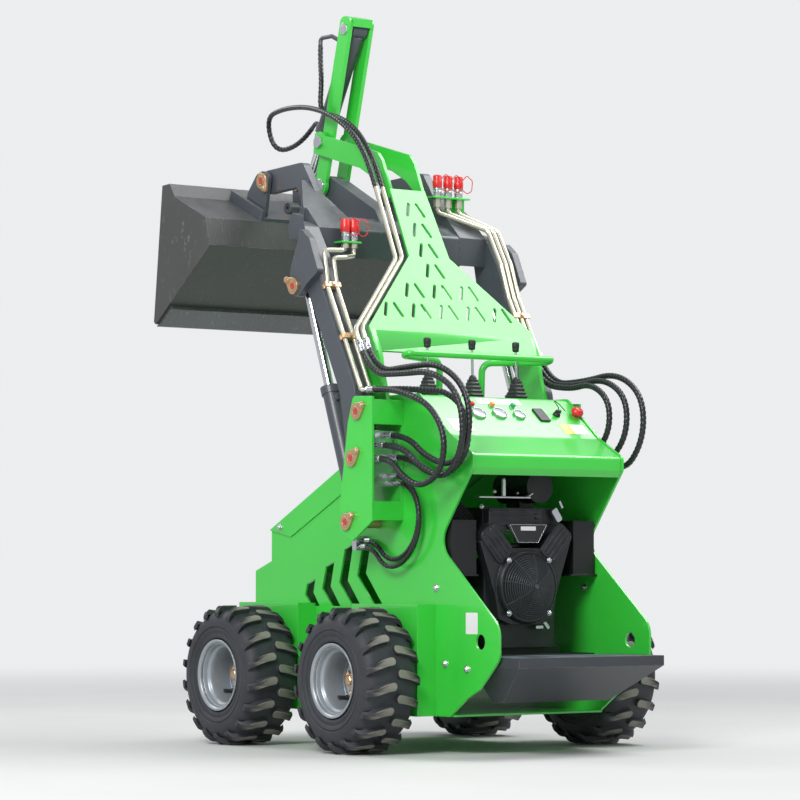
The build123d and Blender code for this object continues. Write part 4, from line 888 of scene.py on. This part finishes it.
def makeLevers(s):
    boots, rods, grips = [], [], []
    for y in s["ys"]:
        foot = fromAxle((s["x"], y, s["foot"]))
        # bellows: rounded squares that shrink with height while their size ripples
        at = np.linspace(0, 1, s["folds"] * 8 + 1)
        ripple = np.abs(np.sin(at * s["folds"] * np.pi))
        half = (0.0345 - 0.0195 * at) * (0.86 + 0.14 * (1 - ripple) ** 0.7)
        shape = boxShape(2.0, 1.9, 0.35, 8)
        ring = foot + np.stack([shape[None, :, 0] * half[:, None], shape[None, :, 1] * half[:, None],
                                np.repeat(at[:, None] * s["boot"], len(shape), 1)], -1)
        boots.append(skin(ring))
        boots.append(prism(boxShape(0.070, 0.066, 0.006), foot, np.array((1.0, 0, 0)), np.array((0, 1.0, 0)), 0.003,
                           0.001))
        low, high = foot + (0, 0, s["boot"] - 0.002), fromAxle((s["x"] + 0.004, y, s["top"]))
        rods.append(revolve([(0, 0.0), (0, s["rod"]), (0.0995, s["rod"]), (0.0995, 0.0)], low, high - low, 16))
        collar = [(0, 0.0), (0, 0.014), (0.006, 0.0135), (0.016, 0.0085), (0.018, 0.0)]
        boots.append(revolve(collar, low, high - low, 24))
        knob = [(-0.003, 0.0), (-0.003, 0.0085), (0.0, 0.0105), (0.004, 0.0118), (0.008, 0.0108), (0.010, 0.0120),
                (0.020, 0.0126), (0.0262, 0.0118), (0.0292, 0.0085), (0.0298, 0.0)]
        grips.append(revolve(knob, high, (0, 0, 1), 32))
    boot = makePiece("lever_boots", boots, "blackPlastic", "chassis", angle=60)
    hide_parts("control_levers")
    for piece in (boot, makePiece("lever_knobs", grips, "blackPlastic", "chassis")):
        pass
    makePiece("lever_rods", rods, "brightZinc", "chassis")


makeLevers(levers)
print("levers made")


# engine's rear face: shroud with ribbed wings, wire guard of rings over a bladed fan, and the covers above
engine = {"face": -0.250, "fanZ": 0.520, "guardRadius": 0.104, "rings": 15, "wire": 0.0015, "lean": 41.0,
          "dome": 0.040, "ring": 0.118, "wingFrom": 0.118, "wingTo": 0.246, "wingWide": 0.076,
          "ribs": 4, "rib": 0.008, "ribPitch": 0.0165, "spokes": 8, "blades": 9}


def makeEngine(s):
    centre = fromAxle((s["face"], 0.0, s["fanZ"]))
    left, up, back = np.array((0, 1.0, 0)), np.array((0, 0, 1.0)), np.array((-1.0, 0, 0))
    body = [(0.180, 0.140), (0.132, 0.196), (0.070, 0.122), (-0.070, 0.122), (-0.132, 0.196), (-0.180, 0.140),
            (-0.121, -0.030), (-0.108, -0.100), (-0.060, -0.1190), (0.060, -0.1190), (0.108, -0.100), (0.121, -0.030)]
    shells = [prism(np.array(body)[::-1], centre - back * 0.040, left, up, -0.034, 0.0)]
    # round housing and its rolled rim
    r = s["ring"]
    shells.append(revolve([(-0.035, 0.0), (-0.035, r), (-0.004, r), (0.006, r - 0.0035), (0.012, r - 0.007),
                           (0.012, r - 0.011), (0.004, r - 0.0125), (-0.020, r - 0.013), (-0.022, 0.0)],
                          centre, back, 72))
    wings = []
    for side in (1, -1):
        # wing along the cylinder, with rounded ribs down its face
        lean = math.radians(s["lean"])
        out = left * side * math.sin(lean) + up * math.cos(lean)
        cross = left * side * math.cos(lean) - up * math.sin(lean)
        for k, wide in enumerate([s["wingWide"], *[s["rib"]] * s["ribs"]]):
            off = 0.0 if k == 0 else (k - (s["ribs"] + 1) / 2) * s["ribPitch"]
            long = s["wingTo"] - s["wingFrom"] - (0.0 if k == 0 else 0.024)
            middle = centre + out * (s["wingFrom"] + s["wingTo"]) / 2 + cross * off
            a, b = (out, cross) if np.cross(out, cross) @ back > 0 else (cross, out)
            size = (long, wide) if a is out else (wide, long)
            foot = middle - back * (0.006 if k else 0.050)
            wings.append(prism(boxShape(*size, min(size) * 0.28), foot, a, b, 0.012 if k else 0.052, 0.003))
    boss = [(-0.001, 0.0), (-0.001, 0.009), (0.004, 0.008), (0.005, 0.0)]
    guard = [revolve(boss, centre + back * (0.008 + s["dome"]), back, 24)]
    wireShape = roundShape(s["wire"], 6)
    turn = np.linspace(0, 2 * np.pi, 73)[:-1]
    for r in np.linspace(0.014, s["guardRadius"], s["rings"]):
        # each ring: a round wire carried round a circle; the guard domes, its height falling with the radius squared
        ring = np.cos(turn)[:, None] * left + np.sin(turn)[:, None] * up
        lift = 0.008 + s["dome"] * (1 - (r / s["guardRadius"]) ** 2)
        grid = centre + ring[:, None] * (r + wireShape[None, :, :1]) + back * (lift + wireShape[None, :, 1:])
        guard.append(skin(grid, loop=True))
    for t in np.arange(s["spokes"]) * 2 * np.pi / s["spokes"] + 0.2:
        spoke = left * math.cos(t) + up * math.sin(t)
        reach = np.linspace(0.008, s["guardRadius"] + 0.004, 14)[:, None]
        height = 0.006 + s["dome"] * (1 - (reach / s["guardRadius"]) ** 2)
        guard.append(carry(centre + spoke * reach + back * height, roundShape(s["wire"], 6)))
    blades = []
    for t in np.arange(s["blades"]) * 2 * np.pi / s["blades"]:
        spoke, turned = left * math.cos(t) + up * math.sin(t), up * math.cos(t) - left * math.sin(t)
        lean = unit(turned + back * 0.55)
        blades.append(prism(boxShape(0.070, 0.034, 0.010), centre + spoke * 0.068 - back * 0.012, spoke, lean, 0.002))
    # air cleaner's cover above the V, with ribs, and the plate between the wings
    middle = centre + left * 0.041 + up * 0.213
    top = [prism(boxShape(0.211, 0.068, 0.010), middle - back * 0.036, left, up, -0.030, 0.0)]
    for k in range(4):
        foot = middle + up * (0.0135 * k - 0.016) - back * 0.006
        top.append(prism(boxShape(0.196, 0.006, 0.0028), foot, left, up, -0.004, 0.0))
    plug = middle - left * 0.086 + up * 0.010 - back * 0.004
    top.append(revolve([(0, 0), (0, 0.009), (0.003, 0.0088), (0.004, 0.0)], plug, back, 20))
    trapezoid = np.array([(0.082, 0.196), (0.044, 0.140), (-0.044, 0.140), (-0.082, 0.196)])
    plate = prism(trapezoid[::-1], centre + back * 0.0, left, up, -0.006, 0.0)
    shroud = makePiece("engine_housing", shells + wings + top + [plate], "castBlack", "chassis", angle=40, bevel=0.003)
    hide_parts("engine_shroud")
    edge = trapezoid[[0, 1, 2, 3, 0]] * (0.90, 1.0)
    rim = [bentTube([centre + left * y + up * z + back * 0.0066 for y, z in edge], 0.0012, 6, 1, (1, 0, 0))]
    makePiece("engine_line", rim, "brightZinc", "chassis")
    badge = prism(boxShape(0.060, 0.013, 0.002), centre + up * 0.184 + back * 0.0062, -left, up, 0.0008, 0.0002)
    makePiece("engine_badge", [badge], "whiteLabel", "chassis")
    for name, parts, finish in (("fan_guard", guard, "guardWire"), ("fan_blades", blades, "castBlack")):
        makePiece(name, parts, finish, "chassis")
    # throttle plate and its post, coil bracket, lower bracket
    def block(y, z, depth, wide, high, deep, turn=0.0):
        a, b = left * math.cos(turn) + up * math.sin(turn), up * math.cos(turn) - left * math.sin(turn)
        foot = centre + left * y + up * z - back * depth
        return prism(boxShape(wide, high, min(wide, high) * 0.25), foot, -a, b, deep, 0.0006)
    bits = [block(0.080, 0.282, 0.030, 0.205, 0.005, 0.022), block(-0.020, 0.289, 0.028, 0.030, 0.004, 0.018, -0.5),
            block(-0.132, 0.228, 0.022, 0.024, 0.046, 0.010, -0.6),
            block(-0.150, 0.262, 0.020, 0.008, 0.026, 0.006, -0.5),
            block(-0.085, -0.118, 0.020, 0.012, 0.040, 0.008, -0.7), block(-0.060, -0.128, 0.020, 0.030, 0.010, 0.008)]
    bits.append(revolve([(0, 0.0), (0, 0.0075), (0.056, 0.0075), (0.060, 0.004), (0.060, 0.0)], centre + left * 0.078
                        + up * 0.284 - back * 0.020, up, 20))
    for y, z, size in ((0.162, 0.252, 0.006), (0.112, 0.300, 0.005), (-0.128, 0.002, 0.006), (0.020, 0.296, 0.004)):
        bits += nutShells(centre + left * y + up * z - back * 0.024, back, size, size, 0.002)
    makePiece("engine_brackets", bits, "brightZinc", "chassis")
    # regulator with cooling fins, high on the left
    y, z, lean, pitch = 0.205, 0.225, 0.75, 0.0085
    fins = [block(y, z, 0.095, 0.090, 0.060, 0.016, lean)]
    fins += [block(y + pitch * k * math.cos(lean), z + pitch * k * math.sin(lean), 0.079, 0.0028, 0.056, 0.014, lean)
             for k in range(-4, 5)]
    makePiece("regulator", fins, "steelDark", "chassis")


makeEngine(engine)
print("engine made")


# couplers: knurled sleeves, hexagons, red dust caps on moulded straps, and clamps on the steel tubes
couplerSet = {"left": {"x": 0.386, "z": 1.655, "ys": (0.226, 0.260)}, "right": {"x": 0.497, "z": 1.845,
                                                                              "ys": (-0.200, -0.245, -0.290)}}


def makeCouplers(s):
    metal, caps, straps = [], [], []
    up = np.array((0, 0, 1.0))
    for group in s.values():
        for y in group["ys"]:
            foot = fromAxle((group["x"], y, group["z"]))
            body = [(0.0003, 0.0), (0.0003, 0.0125), (0.004, 0.0125), (0.0045, 0.0108), (0.014, 0.0108),
                    (0.0145, 0.0145), (0.019, 0.0145), (0.020, 0.0135), (0.022, 0.0135), (0.023, 0.0145),
                    (0.030, 0.0145), (0.031, 0.0112), (0.044, 0.0112), (0.0445, 0.0)]
            metal.append(revolve(body, foot, up, 28))
            metal.append(prism(roundShape(0.0142, 6), foot + up * 0.004, np.array((1.0, 0, 0)), np.array((0, 1.0, 0)),
                               0.010, 0.001))
            cap = [(0.034, 0.0), (0.034, 0.0150), (0.038, 0.0165), (0.054, 0.0165), (0.056, 0.0155), (0.070, 0.0152),
                   (0.0735, 0.0138), (0.0750, 0.010), (0.0752, 0.0)]
            caps.append(revolve(cap, foot, up, 32))
            ring = [(0.0305, 0.0114), (0.0305, 0.0160), (0.0335, 0.0160), (0.0335, 0.0114)]
            caps.append(revolve(ring, foot, up, 32, loop=True))
            away = -1.0
            loop = [foot + (0, away * 0.0150, 0.060), foot + (-0.010, away * 0.028, 0.080),
                    foot + (-0.022, away * 0.044, 0.062), foot + (-0.020, away * 0.042, 0.026),
                    foot + (-0.014, away * 0.026, 0.016), foot + (0, away * 0.0150, 0.0320)]
            straps.append(bentTube(loop, 0.0016, 8, 5))
    piece = makePiece("coupler_bodies", metal, "brightZinc", "arms")
    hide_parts("couplers")
    makePiece("coupler_caps", caps, "redPlastic", "arms")
    makePiece("cap_straps", straps, "redPlastic", "arms")


makeCouplers(couplerSet)

# tube clamps: rows of body, middle of the pair of tubes, run of the tubes, how far apart they are
clamps = [("arms", (0.2985, 0.373, 1.496), (0.489, 0.0, 0.872), 0.036),
          ("arms", (0.2020, 0.373, 1.323), (0.489, 0, 0.872), 0.036),
          ("arms", (0.260, -0.373, 1.427), (0.489, 0, 0.872), 0.044)]


def makeClamps(rows):
    shells = {}
    for body, middle, run, apart in rows:
        run = unit(run)
        w, u = across(run)
        out = u if u[0] < 0 else -u
        for lift in (0.0058, -0.0058):
            a, b = (w, run) if np.cross(w, run) @ out > 0 else (run, w)
            size = (apart + 0.026, 0.020) if a is w else (0.020, apart + 0.026)
            shells.setdefault(body, []).append(prism(boxShape(*size, 0.004), fromAxle(middle) + out * (lift - 0.0045), a, b,
                                                     0.009, 0.0015))
        shells[body] += nutShells(fromAxle(middle) + out * 0.0102, out, 0.0072, 0.005)
    for body, parts in shells.items():
        makePiece("tube_clamps_" + body, parts, "yellowZinc", body)


makeClamps(clamps)
print("couplers and clamps made")


# studio
def areaLight(name, at, target, size, power, color=(1, 1, 1)):
    data = bpy.data.lights.new(name, "AREA")
    data.shape, data.size, data.energy, data.color = "DISK", size, power, color
    obj = bpy.data.objects.new(name, data)
    obj.location = at
    obj.rotation_mode = "QUATERNION"
    obj.rotation_quaternion = (Vector(target) - Vector(at)).to_track_quat("-Z", "Y")
    bpy.context.scene.collection.objects.link(obj)


studio = {"sky": 0.56, "wall": (0.84, 0.85, 0.86), "floorColor": (0.60, 0.60, 0.59), "floorHalf": 60.0,
          "fade": (2.0, 9.0)}
areaLight("key", (-3.4, 5.0, 4.6), (0, 0, 1.0), 2.6, 330)
areaLight("top", (-0.9, -2.3, 4.6), (0, 0, 1.3), 3.2, 170)
areaLight("back", (4.5, 1.5, 5.0), (0, 0, 1.2), 3.0, 120)


def makeStudio(s):
    world = bpy.data.worlds.new("world")
    bpy.context.scene.world = world
    world.use_nodes = True
    t = world.node_tree
    t.nodes.clear()
    out = add(t, "ShaderNodeOutputWorld")
    light = add(t, "ShaderNodeBackground", Color=(0.93, 0.96, 1.0, 1), Strength=s["sky"])
    seen = add(t, "ShaderNodeBackground", Color=(*s["wall"], 1), Strength=1.0)
    mix = add(t, "ShaderNodeMixShader")
    path = add(t, "ShaderNodeLightPath")
    wire(t, (path.outputs["Is Camera Ray"], mix.inputs[0]), (light.outputs[0], mix.inputs[1]),
         (seen.outputs[0], mix.inputs[2]),
         (mix.outputs[0], out.inputs[0]))
    h = s["floorHalf"]
    mesh = bpy.data.meshes.new("floor")
    mesh.from_pydata([(-h, -h, 0), (h, -h, 0), (h, h, 0), (-h, h, 0)], [], [(0, 1, 2, 3)])
    floor = bpy.data.objects.new("floor", mesh)
    bpy.context.scene.collection.objects.link(floor)
    mat, ft = newTree("concrete")
    fout = add(ft, "ShaderNodeOutputMaterial")
    fb = add(ft, "ShaderNodeBsdfPrincipled", Roughness=0.7)
    where = add(ft, "ShaderNodeTexCoord")
    cloud = add(ft, "ShaderNodeTexNoise", Scale=1.4, Detail=6.0)
    tint = ramp(ft, [(0.3, tuple(c * 0.95 for c in s["floorColor"])), (0.7, s["floorColor"])])
    # the floor fades into the wall's colour with distance
    far = add(ft, "ShaderNodeVectorMath", operation="LENGTH")
    fade = add(ft, "ShaderNodeMapRange", interpolation_type="SMOOTHSTEP")
    fade.inputs["From Min"].default_value, fade.inputs["From Max"].default_value = s["fade"]
    glow = add(ft, "ShaderNodeEmission", Color=(*s["wall"], 1), Strength=1.0)
    blend = add(ft, "ShaderNodeMixShader")
    wire(ft, (where.outputs["Object"], cloud.inputs["Vector"]), (cloud.outputs["Fac"], tint.inputs[0]),
         (tint.outputs[0], fb.inputs["Base Color"]), (where.outputs["Object"], far.inputs[0]),
         (far.outputs["Value"], fade.inputs["Value"]), (fade.outputs[0], blend.inputs[0]),
         (fb.outputs[0], blend.inputs[1]), (glow.outputs[0], blend.inputs[2]), (blend.outputs[0], fout.inputs[0]))
    mesh.materials.append(mat)


makeStudio(studio)
print("studio ready")
